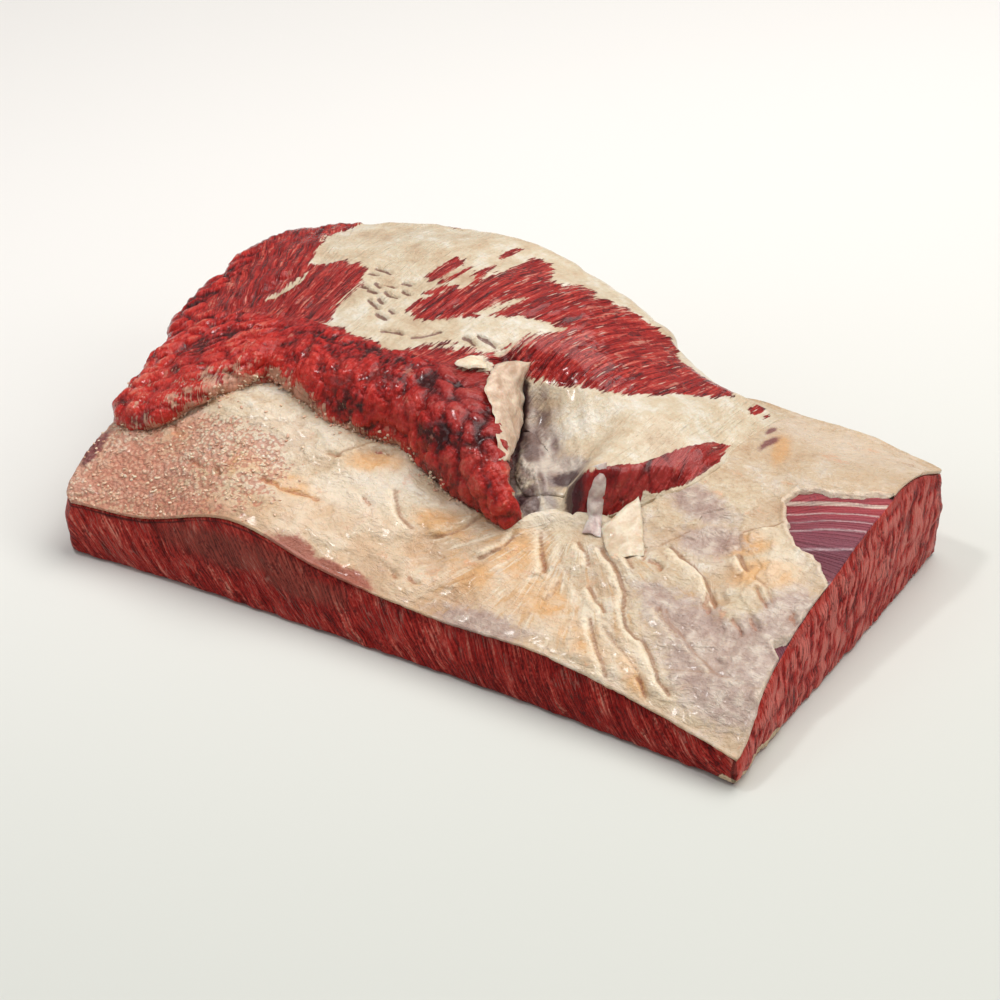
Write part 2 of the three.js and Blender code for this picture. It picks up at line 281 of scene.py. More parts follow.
def slab_outline(level, count_like=None, spacing=1.7):
    lean, left = level * END_LEAN, level * LEFT_SPREAD
    x = np.linspace(-HALF, HALF, round(2 * HALF / spacing), endpoint=False)
    front = np.stack([x, front_line(x, level)], 1)
    right_cut = [(210, 0), (209 - 0.6 * lean, 35), (208 - lean, 75), (209 - lean, 140), (208 - 0.6 * lean, 205), (208, 246)]
    back_side = [(208, 246), (202, 252), (150, 256), (80, 263), (0, 272), (-80, 279), (-150, 281), (-185, 274)]
    left_side = [
        (-185, 274), (-210, 258), (-224 - left, 225), (-228 - left, 180), (-225 - left, 120),
        (-221 - left, 60), (-217 - left, 12), (-HALF, 0),
    ]
    runs = [front] + [run(side, spacing) for side in (right_cut, back_side, left_side)]
    if count_like is not None:
        runs = [r if len(r) == n else resampled(r, n) for r, n in zip(runs, count_like)]
    return np.vstack(runs), [len(r) for r in runs]


def resampled(points, count):
    """The same open run with another number of points."""
    old, new = np.linspace(0, 1, len(points)), np.linspace(0, 1, count)
    return np.stack([np.interp(new, old, points[:, 0]), np.interp(new, old, points[:, 1])], 1)


def point_outline(spacing=1.6):
    front = [
        (-216, 59), (-196, 54), (-176, 78), (-163, 96), (-149, 113), (-116, 104), (-83, 100), (-54, 104),
        (-27, 92), (1, 86), (27, 80),
    ]
    right = [
        (27, 80), (42, 98), (64, 107), (77, 118), (90, 136), (103, 150), (108, 168), (107, 190), (110, 218), (112, 252),
    ]
    back = [(112, 252), (80, 262), (0, 272), (-80, 281), (-150, 283), (-186, 272)]
    left = [
        (-186, 272), (-214, 252), (-234, 222), (-243, 182), (-242, 146), (-226, 126), (-226, 106), (-224, 84), (-216, 59),
    ]
    return np.vstack([run(side, spacing) for side in (front, right, back, left)])


def drawn_in(outline, spine, share):
    """The outline drawn in towards a spine: 0 is the outline itself and 1 the spine."""
    y, low, high = spine
    heart = np.stack([np.clip(outline[:, 0], low, high), np.full(len(outline), y)], 1)
    return lerp(outline, heart, share)


def outward(outline):
    step = np.roll(outline, -1, axis=0) - np.roll(outline, 1, axis=0)
    return np.stack([step[:, 1], -step[:, 0]], 1) / np.hypot(*step.T)[:, None]


SLAB_FOOT, SLAB_RUNS = slab_outline(0.0)
SLAB_BRIM, _ = slab_outline(1.0, SLAB_RUNS)
POINT_FOOT = point_outline()
print("points round the slab:", len(SLAB_FOOT), "and round the point muscle:", len(POINT_FOOT))

# %% [markdown]
# ## Zones
#
# Which tissue shows where was read off the photograph and written down as outlines in millimetres. A zone
# is stored as a *signed distance*: how many millimetres a point lies inside its edge. A material can then draw
# the edge as crisp or as ragged as it likes, at any resolution.

# %% Zone tools and outlines
def inside_by(outline, x, y):
    """Distance in mm to the outline's edge: positive inside it, negative outside."""
    p = np.array(outline, float)
    near, within = np.full(x.shape, 1e9), np.zeros(x.shape, bool)
    for (ax, ay), (bx, by) in zip(p, np.roll(p, -1, axis=0)):
        dx, dy = bx - ax, by - ay
        t = np.clip(((x - ax) * dx + (y - ay) * dy) / (dx * dx + dy * dy), 0, 1)
        near = np.minimum(near, np.hypot(x - ax - t * dx, y - ay - t * dy))
        if dy:
            within ^= ((ay > y) != (by > y)) & (x < ax + (y - ay) * dx / dy)
    return np.where(within, near, -near)


def line_distance(points, x, y):
    near = np.full(x.shape, 1e9)
    for (ax, ay), (bx, by) in zip(points, points[1:]):
        dx, dy = bx - ax, by - ay
        t = np.clip(((x - ax) * dx + (y - ay) * dy) / (dx * dx + dy * dy), 0, 1)
        near = np.minimum(near, np.hypot(x - ax - t * dx, y - ay - t * dy))
    return near


def near_lines(lines, x, y, width):
    """1 on any of the lines and fading out within `width` of them."""
    return np.max([np.exp(-((line_distance(line, x, y) / width) ** 2)) for line in lines], axis=0)


def patches(places, x, y):
    """A soft weight from 0 to 1: each place is (x, y, half length, half width, turn in degrees)."""
    total = np.zeros(x.shape)
    for px, py, rx, ry, turn in places:
        c, s = math.cos(math.radians(turn)), math.sin(math.radians(turn))
        u, v = (x - px) * c + (y - py) * s, -(x - px) * s + (y - py) * c
        total = np.maximum(total, np.exp(-((u / rx) ** 2) - (v / ry) ** 2))
    return total


# Fat on the point muscle: the back band, the peninsula with its lower arm, and the hill over the hollow
UPPER_FAT = [
    (-190, 292), (-184, 262), (-186, 246), (-190, 232), (-183, 212), (-176, 196), (-166, 199), (-157, 204), (-151, 199),
    (-147, 206), (-140, 200), (-134, 186), (-137, 168), (-132, 151), (-134, 145), (-122, 144), (-108, 140), (-96, 139),
    (-80, 135), (-72, 142), (-60, 150), (-48, 158), (-36, 160), (-30, 165), (-28, 177), (-19, 189), (-8, 204), (-20, 203),
    (-34, 198), (-48, 188), (-57, 183), (-70, 174), (-84, 166), (-96, 173), (-93, 183), (-86, 191), (-79, 201), (-73, 207),
    (-78, 218), (-73, 233), (-71, 224), (-70, 211), (-65, 227), (-62, 245), (-59, 256), (-48, 256), (-42, 249), (-39, 239),
    (-30, 238), (-24, 248), (-16, 250), (-11, 241), (-2, 250), (8, 256), (22, 258), (36, 259), (42, 246), (58, 246),
    (70, 245), (80, 243), (85, 232), (78, 224), (70, 214), (62, 204), (56, 194), (48, 185), (38, 180), (22, 177), (8, 175),
    (-6, 173), (-14, 170), (-8, 150), (3, 128), (12, 108), (17, 97), (21, 88), (26, 87), (31, 88), (35, 80), (40, 70),
    (46, 82), (55, 101), (54, 112), (59, 115), (64, 118), (70, 127), (77, 139), (83, 152), (88, 163), (95, 175), (97, 188),
    (103, 196), (118, 192), (126, 220), (126, 292),
]
RED_ISLANDS = [
    [(95, 232), (101, 229), (104, 239), (98, 246)],
    [(-101, 205), (-96, 201), (-91, 205), (-89, 214), (-89, 225), (-93, 231), (-96, 229), (-99, 216)],
    [(-91, 201), (-88, 199), (-83, 209), (-80, 220), (-83, 223), (-89, 209)],
    [(-94, 189), (-89, 188), (-83, 195), (-79, 202), (-82, 203), (-88, 198)],
    [(-75, 242), (-72, 240), (-70, 254), (-70, 259), (-73, 258), (-76, 250)],
    [(-71, 140), (-65, 150), (-58, 157), (-54, 159), (-60, 152), (-66, 141)],
    [(-197, 290), (-150, 283), (-120, 277), (-120, 272), (-150, 277), (-182, 284)],
]
CREVICE = [(-13, 168), (-7, 150), (3, 129), (13, 108), (21, 94), (30, 89)]
SMALL_FAT = [
    [(-43, 145), (-37, 156), (-30, 159), (-24, 152), (-27, 146), (-38, 141)],
    [(-58, 186), (-52, 195), (-46, 208), (-41, 214), (-42, 206), (-46, 194), (-50, 186)],
    [(-183, 160), (-178, 172), (-172, 185), (-171, 176), (-178, 162)],
]
BARE_PATCH = [
    (240, 112), (203, 114), (193, 128), (180, 131), (170, 140), (160, 152), (154, 162), (158, 172), (182, 181), (204, 193),
    (240, 197),
]
CUT_NOTCHES = [[(196, 66), (203, 61), (212, 66), (212, 74), (203, 73)], [(205, 33), (214, 30), (214, 37)], [(203, 88), (214, 90), (214, 97)]]
DARK_LUMPS = [(-34, 128, 24, 16, 0), (-4, 104, 30, 18, -10), (-20, 116, 34, 15, 0)]
FAT_CRACKS = [
    [(-136, 204), (-130, 203), (-124, 202)], [(-136, 198), (-131, 198)], [(-125, 192), (-120, 192), (-114, 190)],
    [(-117, 184), (-112, 181), (-107, 181)], [(-127, 182), (-121, 181)], [(-121, 174), (-114, 170), (-111, 169)],
    [(-134, 185), (-129, 184)], [(-117, 177), (-112, 174)], [(-105, 169), (-100, 167)], [(-110, 164), (-101, 160)],
    [(-52, 166), (-43, 163)], [(-45, 171), (-34, 169)], [(-67, 163), (-71, 157), (-77, 151)], [(-128, 190), (-122, 187)],
    [(-112, 196), (-106, 195)], [(-107, 188), (-101, 186)], [(-97, 150), (-84, 152)],
]
SEAM = [(-222, 96), (-212, 118), (-205, 138), (-199, 156), (-190, 172), (-184, 186)]

# %% [markdown]
# ## From rings to a mesh
#
# `ring_mesh` joins neighbouring rings with quads and closes the two end rings like a zip: they are narrow strips,
# so their two long sides are joined from left to right. Points can carry any number of attributes.

# %% Ring meshes
def normals_of(grid):
    """Outward directions at the points of a stack of rings, shape (rings, points, 3)."""
    up = np.gradient(grid, axis=0)
    round_ = np.roll(grid, -1, axis=1) - np.roll(grid, 1, axis=1)
    n = np.cross(round_, up)
    return n / np.maximum(np.linalg.norm(n, axis=2, keepdims=True), 1e-9)


def zip_faces(ring, first, up):
    count = len(ring)
    left = int(np.argmin(ring[:, 0]))
    at = lambda k: (left + k) % count
    faces, front, back = [], 0, 1
    while front + back < count - 1:
        ahead = ring[at(front + 1), 0] < ring[at(-back - 1), 0]
        corner = at(front + 1) if ahead else at(-back - 1)
        face = (at(front), corner, at(-back)) if up else (at(front), at(-back), corner)
        faces.append([first + i for i in face])
        front, back = (front + 1, back) if ahead else (front, back + 1)
    return faces


def ring_mesh(name, grid, attributes):
    rings, count, _ = grid.shape
    index = np.arange(rings * count).reshape(rings, count)
    a, c = index[:-1], index[1:]
    b, d = np.roll(a, -1, axis=1), np.roll(c, -1, axis=1)
    quads = np.stack([a, b, d, c], -1).reshape(-1, 4)
    lids = zip_faces(grid[0], 0, False) + zip_faces(grid[-1], (rings - 1) * count, True)
    mesh = bpy.data.meshes.new(name)
    points = (grid.reshape(-1, 3) - [MIDDLE[0], MIDDLE[1], 0]) * MM
    corners = np.concatenate([quads.ravel(), np.array(lids).ravel()]).astype(np.int32)
    sizes = np.concatenate([np.full(len(quads), 4), np.full(len(lids), 3)])
    mesh.vertices.add(len(points))
    mesh.vertices.foreach_set("co", points.astype(np.float32).ravel())
    mesh.loops.add(len(corners))
    mesh.loops.foreach_set("vertex_index", corners)
    mesh.polygons.add(len(sizes))
    mesh.polygons.foreach_set("loop_start", np.concatenate([[0], np.cumsum(sizes)[:-1]]).astype(np.int32))
    mesh.polygons.foreach_set("use_smooth", np.ones(len(sizes), bool))
    mesh.update(calc_edges=True)
    mesh.validate()
    for key, values in attributes.items():
        if values.ndim == 3:
            layer = mesh.attributes.new(key, "FLOAT_VECTOR", "POINT")
            layer.data.foreach_set("vector", values.astype(np.float32).ravel())
        else:
            layer = mesh.attributes.new(key, "FLOAT", "POINT")
            layer.data.foreach_set("value", values.astype(np.float32).ravel())
    piece = bpy.data.objects.new(name, mesh)
    bpy.context.scene.collection.objects.link(piece)
    print(f"{name}: {2 * len(quads) + len(lids)} triangles")
    return piece


def stack(rings):
    return np.stack([np.column_stack([plan, height]) for plan, height in rings])


# %% [markdown]
# ## The slab of lean
#
# Its cut sides show the bundles of muscle end on. On the front cut they run slantwise; on the right-hand cut they
# stand upright in wavy ridges. Bundles are real relief, about half a millimetre deep.

# %% Build the slab
def slab_grid():
    out = outward(SLAB_FOOT)
    rings = [(drawn_in(SLAB_FOOT, SLAB_SPINE, s), np.zeros(len(out))) for s in (CLOSED, 0.5, 0.12)]
    rings.append((SLAB_FOOT - out * FOOT_ROUND, np.zeros(len(out))))
    rows = 36
    brim_height = slab_top(SLAB_BRIM[:, 0], SLAB_BRIM[:, 1])
    for row in range(rows):
        share = row / rows
        at = lerp(SLAB_FOOT, SLAB_BRIM, share)
        z = lerp(FOOT_LIFT, brim_height, share)
        belly = SLAB_BELLY * math.sin(math.pi * share) + 1.5 * (lumps(at[:, 0], at[:, 1], z, 16.0) - 0.6) * (1 - share**4)
        rings.append((at + out * belly[:, None], z))
    for share in np.concatenate([[0, 0.004], np.linspace(0.015, 0.5, 34), [0.75, CLOSED]]):
        plan = drawn_in(SLAB_BRIM, SLAB_SPINE, share)
        rings.append((plan, slab_top(plan[:, 0], plan[:, 1])))
    return stack(rings), (4, 4 + rows)


grid, (first_side, last_side) = slab_grid()
starts = np.cumsum([0] + SLAB_RUNS)
kind = np.zeros(len(SLAB_FOOT))
kind[starts[1]:starts[2]] = 1.0
walked = np.concatenate([[0], np.cumsum(np.hypot(*np.diff(SLAB_FOOT, axis=0).T))])
along, height = np.broadcast_to(walked, grid.shape[:2]), grid[..., 2]
side_rows = np.zeros(grid.shape[:2])
side_rows[first_side:last_side] = 1.0
steep = np.tan(np.radians(np.interp(walked, [0, 250, 400, 440], [52, 46, 24, 24])))
lean_over = np.concatenate([[0], np.cumsum(steep[1:] * np.diff(walked))])
across = (height + lean_over) * np.cos(np.arctan(steep))
wavy = along + 2.0 * wander(along * 0, along * 0.2, height, 8.0) - 0.3 * height
fine_bundles = np.abs(wander(across, along / 5.0, 0 * along, 5.2)) + 0.4 * crest(across, along / 3.0, 0 * along + 3, 8.0)
ridges = np.abs(wander(wavy, height / 3.2, 0 * along, 3.4)) + 0.3 * np.abs(wander(along, height / 3.0, 0 * along + 8, 3.0))
upright = kind > 0.5
relief = np.where(upright, 1.7 * np.minimum(ridges, 0.6), 0.9 * np.minimum(fine_bundles, 0.8))
relief = relief + 0.6 * wander(along, height, 0 * along, 8.0) + 0.4 * crest(along, height, 0 * along + 4, 6.0)
grid = grid + normals_of(grid) * ((relief - 0.8) * side_rows)[..., None]
grid[..., 2] = np.maximum(grid[..., 2], 0.0)
x, y = grid[..., 0], grid[..., 1]
slab = ring_mesh("flat_muscle_lean", grid, {
    "face": np.stack([np.where(upright, wavy, across), np.where(upright, height, along), upright + 0 * along], -1),
    "relief": np.where(upright, ridges, fine_bundles),
    "side": side_rows,
    "bare": np.where(side_rows > 0, -30, np.max([inside_by(zone, x, y) for zone in [BARE_PATCH] + CUT_NOTCHES], axis=0)),
    "stripe": y - 0.45 * x + 0.8 * wander(x, y, 0 * x, 14.0),
    # painted shadow under the overhanging fat lip: the cut is darkened just below its top edge at the front left
    "shadow_under_fat_lip": side_rows * np.exp(-(((slab_top(x, y) - height) / 1.7) ** 2)) * ease(-x, 55, 95) * (y < 40),
    "dull": side_rows * patches([(-105, 32, 55, 11, 0), (-60, 24, 30, 8, 0)], x, height) * (y < 40),
    "foot_fat": np.where(side_rows > 0, 5.0 - height + 1.6 * wander(along, height, 0 * x, 7.0), -30)
    - 9 * (1 - ease(x, 195, 203)) - 9 * ease(y, 50, 75),
    "brim": np.where(side_rows > 0, slab_top(x, y) - height, 0),
})

# %% [markdown]
# ## The fat
#
# The fat is one soft sheet over the slab. Folds run out from the foot of the hollow to the front cut, like cloth
# gathered at one point. Inside the bare patch the sheet dives under the lean, which leaves a ragged torn edge.

# %% Build the fat
FOLDS = [
    [(44, 86), (52, 75), (57, 69), (62, 61)], [(59, 83), (63, 73), (76, 62), (93, 49), (102, 43), (119, 38)],
    [(65, 87), (74, 81), (80, 73)], [(79, 87), (94, 74), (105, 64), (113, 53), (122, 43), (139, 34), (152, 25)],
    [(92, 87), (95, 83), (101, 78)], [(101, 40), (107, 33), (115, 23), (122, 16), (126, 11)],
    [(111, 37), (124, 29), (133, 25), (141, 20), (151, 12)], [(72, 61), (73, 53), (72, 45)],
    [(129, 62), (139, 55), (149, 48)], [(113, 102), (121, 100), (131, 96), (142, 90), (149, 83), (156, 77)],
    [(104, 98), (109, 102), (115, 111), (118, 118)], [(144, 126), (150, 132), (157, 138), (161, 145)],
    [(166, 102), (173, 95), (180, 87)], [(150, 113), (161, 106)], [(132, 40), (139, 36), (148, 28), (154, 22), (163, 16)],
    [(133, 62), (144, 54), (154, 48), (164, 43), (178, 36)], [(147, 26), (161, 31), (179, 35), (200, 35), (208, 37)],
    [(20, 30), (26, 38), (31, 45)], [(14, 22), (28, 21), (38, 18)], [(-77, 75), (-71, 88), (-68, 97)],
    [(32, 80), (30, 68), (22, 56)], [(10, 84), (4, 70), (-8, 58)], [(88, 60), (98, 52), (106, 45)], [(-40, 72), (-30, 60), (-18, 54)],
]


CRACKS = [
    [(-110, 43), (-96, 43), (-85, 46), (-74, 48)], [(-86, 76), (-78, 77)], [(-64, 92), (-58, 94)], [(-153, 39), (-146, 37)],
    [(-138, 38), (-132, 36)], [(148, 83), (156, 76)], [(173, 95), (181, 86)], [(148, 81), (155, 72)], [(177, 76), (184, 71)],
    [(170, 72), (179, 65)], [(196, 89), (200, 82)], [(103, 99), (107, 90)], [(111, 91), (118, 88)], [(54, 72), (61, 62)],
    [(-13, 27), (-8, 26)], [(-2, 28), (3, 26)], [(-52, 60), (-46, 57)], [(-182, 60), (-172, 54)], [(142, 19), (151, 12)],
]


def fold_relief(x, y):
    """Pleats along the listed runs, steep on one side and easy on the other, fading out at both ends."""
    u = x + 3.0 * wander(x, y, 0 * x, 26.0) + 0.8 * wander(x, y, 0 * x + 5, 7.0)
    v = y + 3.0 * wander(x, y, 0 * x + 9, 26.0) + 0.8 * wander(x, y, 0 * x + 14, 7.0)
    rise, shaded_valley = np.zeros(x.shape), np.zeros(x.shape)
    for k, run_points in enumerate(FOLDS):
        width, easy, bold = 1.5 + 0.5 * chance(k, 3, 7), 4.0 + 5.0 * chance(k, 9, 2), 0.45 + 0.55 * chance(k, 5, 1)
        for (ax, ay), (bx, by) in zip(run_points, run_points[1:]):
            dx, dy = bx - ax, by - ay
            length = math.hypot(dx, dy)
            t = ((u - ax) * dx + (v - ay) * dy) / length**2
            side = ((v - ay) * dx - (u - ax) * dy) / length
            ends = ease(t, -0.25, 0.1) * (1 - ease(t, 0.9, 1.25))
            rise = np.maximum(rise, bold * ends * np.exp(-np.abs(side / np.where(side > 0, width, easy)) ** 1.4))
            shaded_valley = np.maximum(shaded_valley, bold * ends * np.exp(-((side - 2.2) / 1.5) ** 2))
    return rise, shaded_valley


def cover_grid():
    out = outward(SLAB_BRIM)
    walk = np.arange(len(out)) * 1.7
    ragged = 0.5 * wander(walk, 0 * walk, 0 * walk, 13.0) + 0.35 * wander(walk, 0 * walk + 5, 0 * walk, 3.4)
    x, y = SLAB_BRIM[:, 0], SLAB_BRIM[:, 1]
    lip = 0.5 + ragged + 1.3 * ease(x, -50, 30) * (1 - ease(y, 20, 40))
    under = slab_top(x, y) + LAYER_GAP
    top = lower_top(x, y)
    inner = drawn_in(SLAB_BRIM, SLAB_SPINE, 0.12)
    rings = [(drawn_in(SLAB_BRIM, SLAB_SPINE, CLOSED), None), (inner, None)]
    rings = [(plan, slab_top(plan[:, 0], plan[:, 1]) + LAYER_GAP) for plan, _ in rings]
    drop = 1.6 * ease(lip, 0.8, 2.6)
    for side, rise in ((-2.0, 0.0), (0.1, 0.2), (0.6, 0.45), (1.0, 0.72), (0.95, 0.93)):
        rings.append((SLAB_BRIM + out * (lip * side if side > 0 else side)[..., None] if np.ndim(lip * side) and side > 0
                      else SLAB_BRIM + out * side, lerp(under, top, rise) - (drop if side > 0 else 0) * (1 - rise)))
    for share in CLOSED * np.linspace(0.004, 1, 104) ** 1.02:
        plan = drawn_in(SLAB_BRIM, SLAB_SPINE, share)
        rings.append((plan, lower_top(plan[:, 0], plan[:, 1])))
    return stack(rings), 7


grid, first_top = cover_grid()
x, y = grid[..., 0].copy(), grid[..., 1].copy()
top_rows = np.zeros(grid.shape[:2])
top_rows[first_top:] = 1.0
folds, valleys = fold_relief(x, y)
calm = 1 - 0.8 * ease(y + 0.3 * x, 170, 215)
u, v = x + 3 * wander(x, y, 0 * x + 1, 12.0), y + 3 * wander(x, y, 0 * x + 6, 12.0)
from_hollow, bearing = np.hypot(x - 58, y - 108), np.arctan2(y - 108, x - 58)
gathered = wander(bearing * 13, from_hollow / 26, 0 * x, 1.0) + 0.5 * wander(bearing * 26, from_hollow / 14, 0 * x + 4, 1.0)
gathered = gathered * ease(from_hollow, 14, 30) * (1 - ease(from_hollow, 95, 140)) * (1 - ease(y, 70, 95)) * ease(x, -30, 20)
curdled = ease(-x, 70, 135) * (1 - 0.7 * ease(y, 55, 80)) * (0.7 + 0.5 * wander(x, y, 0 * x + 8, 30.0))
curds = grapes(u, v, 0 * x, 5.2) + 0.6 * grapes(u + 30, v, 0 * x, 3.4)
broad = 1.0 * wander(x, y, 0 * x, 28.0) + 0.9 * flakes(x, y, 22.0)
torn = 0.55 * crest(u, v, 0 * x, 8.5, 1.1) + 0.3 * crest(u, v, 0 * x + 6, 4.4, 0.2) + 0.4 * flakes(x + 60, y, 9.0)
torn = torn + 0.55 * gathered + 0.9 * curdled * curds
cracks = near_lines(CRACKS, x + 1.5 * wander(x, y, 0 * x, 5.0), y + 1.5 * wander(x, y, 0 * x + 3, 5.0), 1.5)
edge_fade = 0.35 + 0.65 * ease(y - front_line(x), 0, 8)
rough_part = 0.75 + 0.5 * wander(x, y, 0 * x + 3, 45.0)
climbs = np.exp(-((line_distance([(31, 85), (42, 98), (57, 105), (66, 110)], x, y) / 5.5) ** 2))
relief = (broad + torn * rough_part) * calm * edge_fade - 1.8 * cracks + 5.0 * climbs
outside = -inside_by(POINT_FOOT[::4], x, y)
fringe = np.exp(-(((outside - 1.0) / 3.0) ** 2)) * (1 - ease(x, -30, 10)) * (1 - ease(y, 118, 130))
crumbs = top_rows * np.clip(fringe * (0.7 + 0.8 * wander(x, y, 0 * x + 12, 16.0)) + 0.1 * curdled, 0, 1)
radiating = (1 - ease(y, 80, 104)) * ease(from_hollow, 6, 26) * (1 - ease(from_hollow, 80, 120)) * ease(x, -45, 15)
grid = grid + normals_of(grid) * (top_rows * (1.9 * folds - 1.3 * valleys + relief - 1.4))[..., None]
bare = np.max([inside_by(zone, x, y) for zone in [BARE_PATCH] + CUT_NOTCHES], axis=0)
bare = bare + 1.6 * wander(x, y, 0 * x, 7.0) + 1.4 * wander(x, y, 0 * x + 2, 3.0)
gone = ease(bare, -0.3, 0.9)
grid[..., 2] -= 6.0 * gone
rim_rows = (1 - top_rows) * gone
grid[..., 0] -= 6.0 * rim_rows * (x > 150)
grid[..., 2] += top_rows * 0.9 * np.exp(-((bare + 2.2) / 1.6) ** 2)
cover = ring_mesh("fat_cover", grid, {
    "bare": bare,
    "curds": curdled * curds,
    "crumbs": crumbs,
    "radial": np.stack([bearing * 55, from_hollow / 5, radiating], -1),
    "fold": folds,
    # the valley beside each fold, used for painted shade
    "valley_shade": valleys,
    "crack": cracks,
    "relief": relief,
    "pink": patches([(-188, 28, 38, 26, 0), (-150, 14, 45, 9, 0), (-203, 12, 14, 14, 0), (-172, 62, 12, 9, 60)], x, y),
    "stain": patches([(-50, 13, 38, 6, 2), (-66, 15, 16, 7, 0), (-30, 14, 14, 7, 0), (-62, 92, 3, 2, 0)], x, y),
    "tan": 0.55 * (1 - ease(y - front_line(x), 25, 85)) * (1 - 0.6 * ease(x, 60, 120)),
    "white": patches([(-118, 76, 34, 24, 0), (-70, 56, 22, 10, 0), (150, 235, 60, 22, -5), (95, 100, 20, 12, -30)], x, y),
    "warm": patches([
        (44, 66, 20, 17, -40), (-6, 66, 17, 10, 0), (28, 43, 12, 12, 0), (72, 45, 20, 12, -30), (168, 106, 22, 12, 20),
        (150, 122, 16, 9, 20), (104, 26, 24, 9, -20), (138, 20, 18, 6, -35), (130, 205, 6, 20, 20), (-170, 96, 10, 18, 0),
        (-92, 48, 24, 8, 0), (-60, 84, 20, 8, 30), (-120, 48, 14, 10, 0), 
    ], x, y),
    "grey": patches([
        (162, 54, 40, 16, -22), (172, 36, 26, 14, -20), (186, 44, 18, 16, 0), (190, 62, 20, 16, 0), (192, 26, 22, 13, 0), (112, 140, 18, 9, -20), (132, 118, 16, 9, 20),
        (48, 16, 24, 8, 0), (196, 86, 14, 18, 0), (132, 66, 18, 8, -30),
    ], x, y),
    "purple": patches([(122, 208, 4, 11, -10), (-217, 34, 5, 18, 0), (116, 222, 3, 7, 0)], x, y),
})

# %% [markdown]
# ## The point muscle
#
# Its brow turns up from the fat in a quarter round, and its upper face runs in over the middle. The cut front is a
# mass of lumps; the rest is long fibre, so its relief follows a direction field. Fat patches stand a little proud.

# %% Build the point muscle
def mound_grid():
    foot, out = POINT_FOOT, outward(POINT_FOOT)
    rim = lambda p: lower_top(p[:, 0], p[:, 1]) + RIM_LIFT
    base = rim(foot)
    heart = drawn_in(foot, POINT_SPINE, 1.0)
    share = brow_width(foot[:, 0], foot[:, 1]) / np.hypot(*(foot - heart).T)
    rings = [(drawn_in(foot, POINT_SPINE, s), rim(drawn_in(foot, POINT_SPINE, s)) - SUNK) for s in (0.9, 0.1)]
    climb = ease(foot[:, 0], 26, 36) * ease(foot[:, 1], 60, 80)
    rings.append((foot, base - 1.5 * climb))
    brow, top = 34, 84
    for r in range(1, brow + 1):
        turn = r / brow * math.pi / 2
        q = lerp(foot, heart, (share * (1 - math.cos(turn)))[:, None])
        z = lerp(base, np.maximum(upper_top(q[:, 0], q[:, 1]), base + LEAST_DEPTH), math.sin(turn))
        bulge = 6 * lumps(q[:, 0], q[:, 1], z, 19.0) * math.sin(2 * turn)
        soft = lerp(foot, heart, (share * r / brow)[:, None])
        top_there = np.maximum(upper_top(soft[:, 0], soft[:, 1]), base + LEAST_DEPTH)
        rise = lerp(base - 1.5, top_there, ease(r / brow, 0, 1))
        q = lerp(q + out * bulge[:, None], soft, climb[:, None])
        rings.append((q, lerp(z + 0.3 * bulge, rise, climb)))
    for r in range(1, top + 1):
        q = lerp(foot, heart, lerp(share, CLOSED, r / top)[:, None])
        rings.append((q, np.maximum(upper_top(q[:, 0], q[:, 1]), rim(q) + LEAST_DEPTH)))
    return stack(rings), (2, 3 + brow)


def fibre_place(x, y):
    """Distance across and along the fibres, whose direction swings from the left side to the right."""
    tilt = through([-240, -190, -150, -90, -30, 20, 60, 110], [-0.55, -0.3, 0.05, 0.15, 0.35, 0.3, 0.12, 0.0], x)
    return x - tilt * (y - 200), y + tilt * (x + 60)


grid, (rim_row, top_row) = mound_grid()
x, y, z = (grid[..., i].copy() for i in range(3))
rows = np.broadcast_to(np.arange(grid.shape[0])[:, None], x.shape)
shown = (rows >= rim_row).astype(float)
brow = 1 - ease(rows, top_row - 4, top_row + 16)
cut = shown * np.maximum(brow * (1 - ease(y, 190, 230)), 1 - ease(y + 0.12 * x, 112, 136))
cut = cut * (1 - ease(x, 20, 45))
fat = np.max([inside_by(zone, x, y) for zone in [UPPER_FAT] + SMALL_FAT], axis=0)
for hole in RED_ISLANDS:
    fat = np.minimum(fat, -inside_by(hole, x, y))
to_edge = inside_by(POINT_FOOT[::3], x, y)
climbing = 2.5 - to_edge + 2.5 * wander(x, y, 0 * x, 7.0) - 20 * (1 - ease(x, 62, 70))
fat = np.where(rows >= rim_row, np.maximum(fat, climbing), fat)
across, along = fibre_place(x, y)
is_fat = ease(fat + 1.2 * wander(across, along / 3, z * 0, 4.0), -1.0, 1.0)
lean = (1 - is_fat) * shown
fibres = lumps(across, along / 5.0, z / 3.0, 4.5)
wx, wy, wz = (v + 3.0 * wander(x + k, y, z, 11.0) for k, v in ((0, x), (50, y), (90, z)))
slide = wx + 0.35 * wy
bold = patches(DARK_LUMPS, x, y)
big = grapes(slide, wy / 1.2, wz / 1.2, 12.0)
small = grapes(slide + 40, wy / 1.6, wz / 1.3, 5.4)
pebbles = lerp(0.4 * big + 0.42 * small + 0.16 * crest(x, y, z, 3.4), 0.85 * big + 0.1 * small, bold)
arm = 1 - ease(x, -165, -125)
beside, ahead = 0.78 * wy - 0.63 * wx, 0.78 * wx + 0.63 * wy
chunks = 0.62 * grapes(beside, ahead / 3.2, wz, 7.5) + 0.3 * crest(beside, ahead / 3, wz, 4.5, 0.1)
pebbles = lerp(pebbles, chunks, arm)
pebbles = (pebbles + 0.16 * wander(x, y, z, 14.0)) * (0.9 + 0.3 * wander(x, y, z, 24.0))
seam = line_distance(SEAM, x, y)
reach, side = hollow_place(x, y)
crevice = line_distance(CREVICE, x, y)
in_hollow = ease(reach, 0.0, 0.3) * (1 - ease(x, 56, 70)) * ease(side, -6, 2) * (1 - ease(side, 34, 50)) * is_fat
drapes = crest(reach * 20, side, 0 * x, 9.0, 0.15) + 0.5 * crest(reach * 36, side, 0 * x + 5, 4.5, -0.2)
skin = 0.6 * crest(x, y, z, 15.0) + 0.3 * crest(x, y, z + 9, 6.0, 1.2) + 0.15 * crest(x, y, z + 5, 3.2)
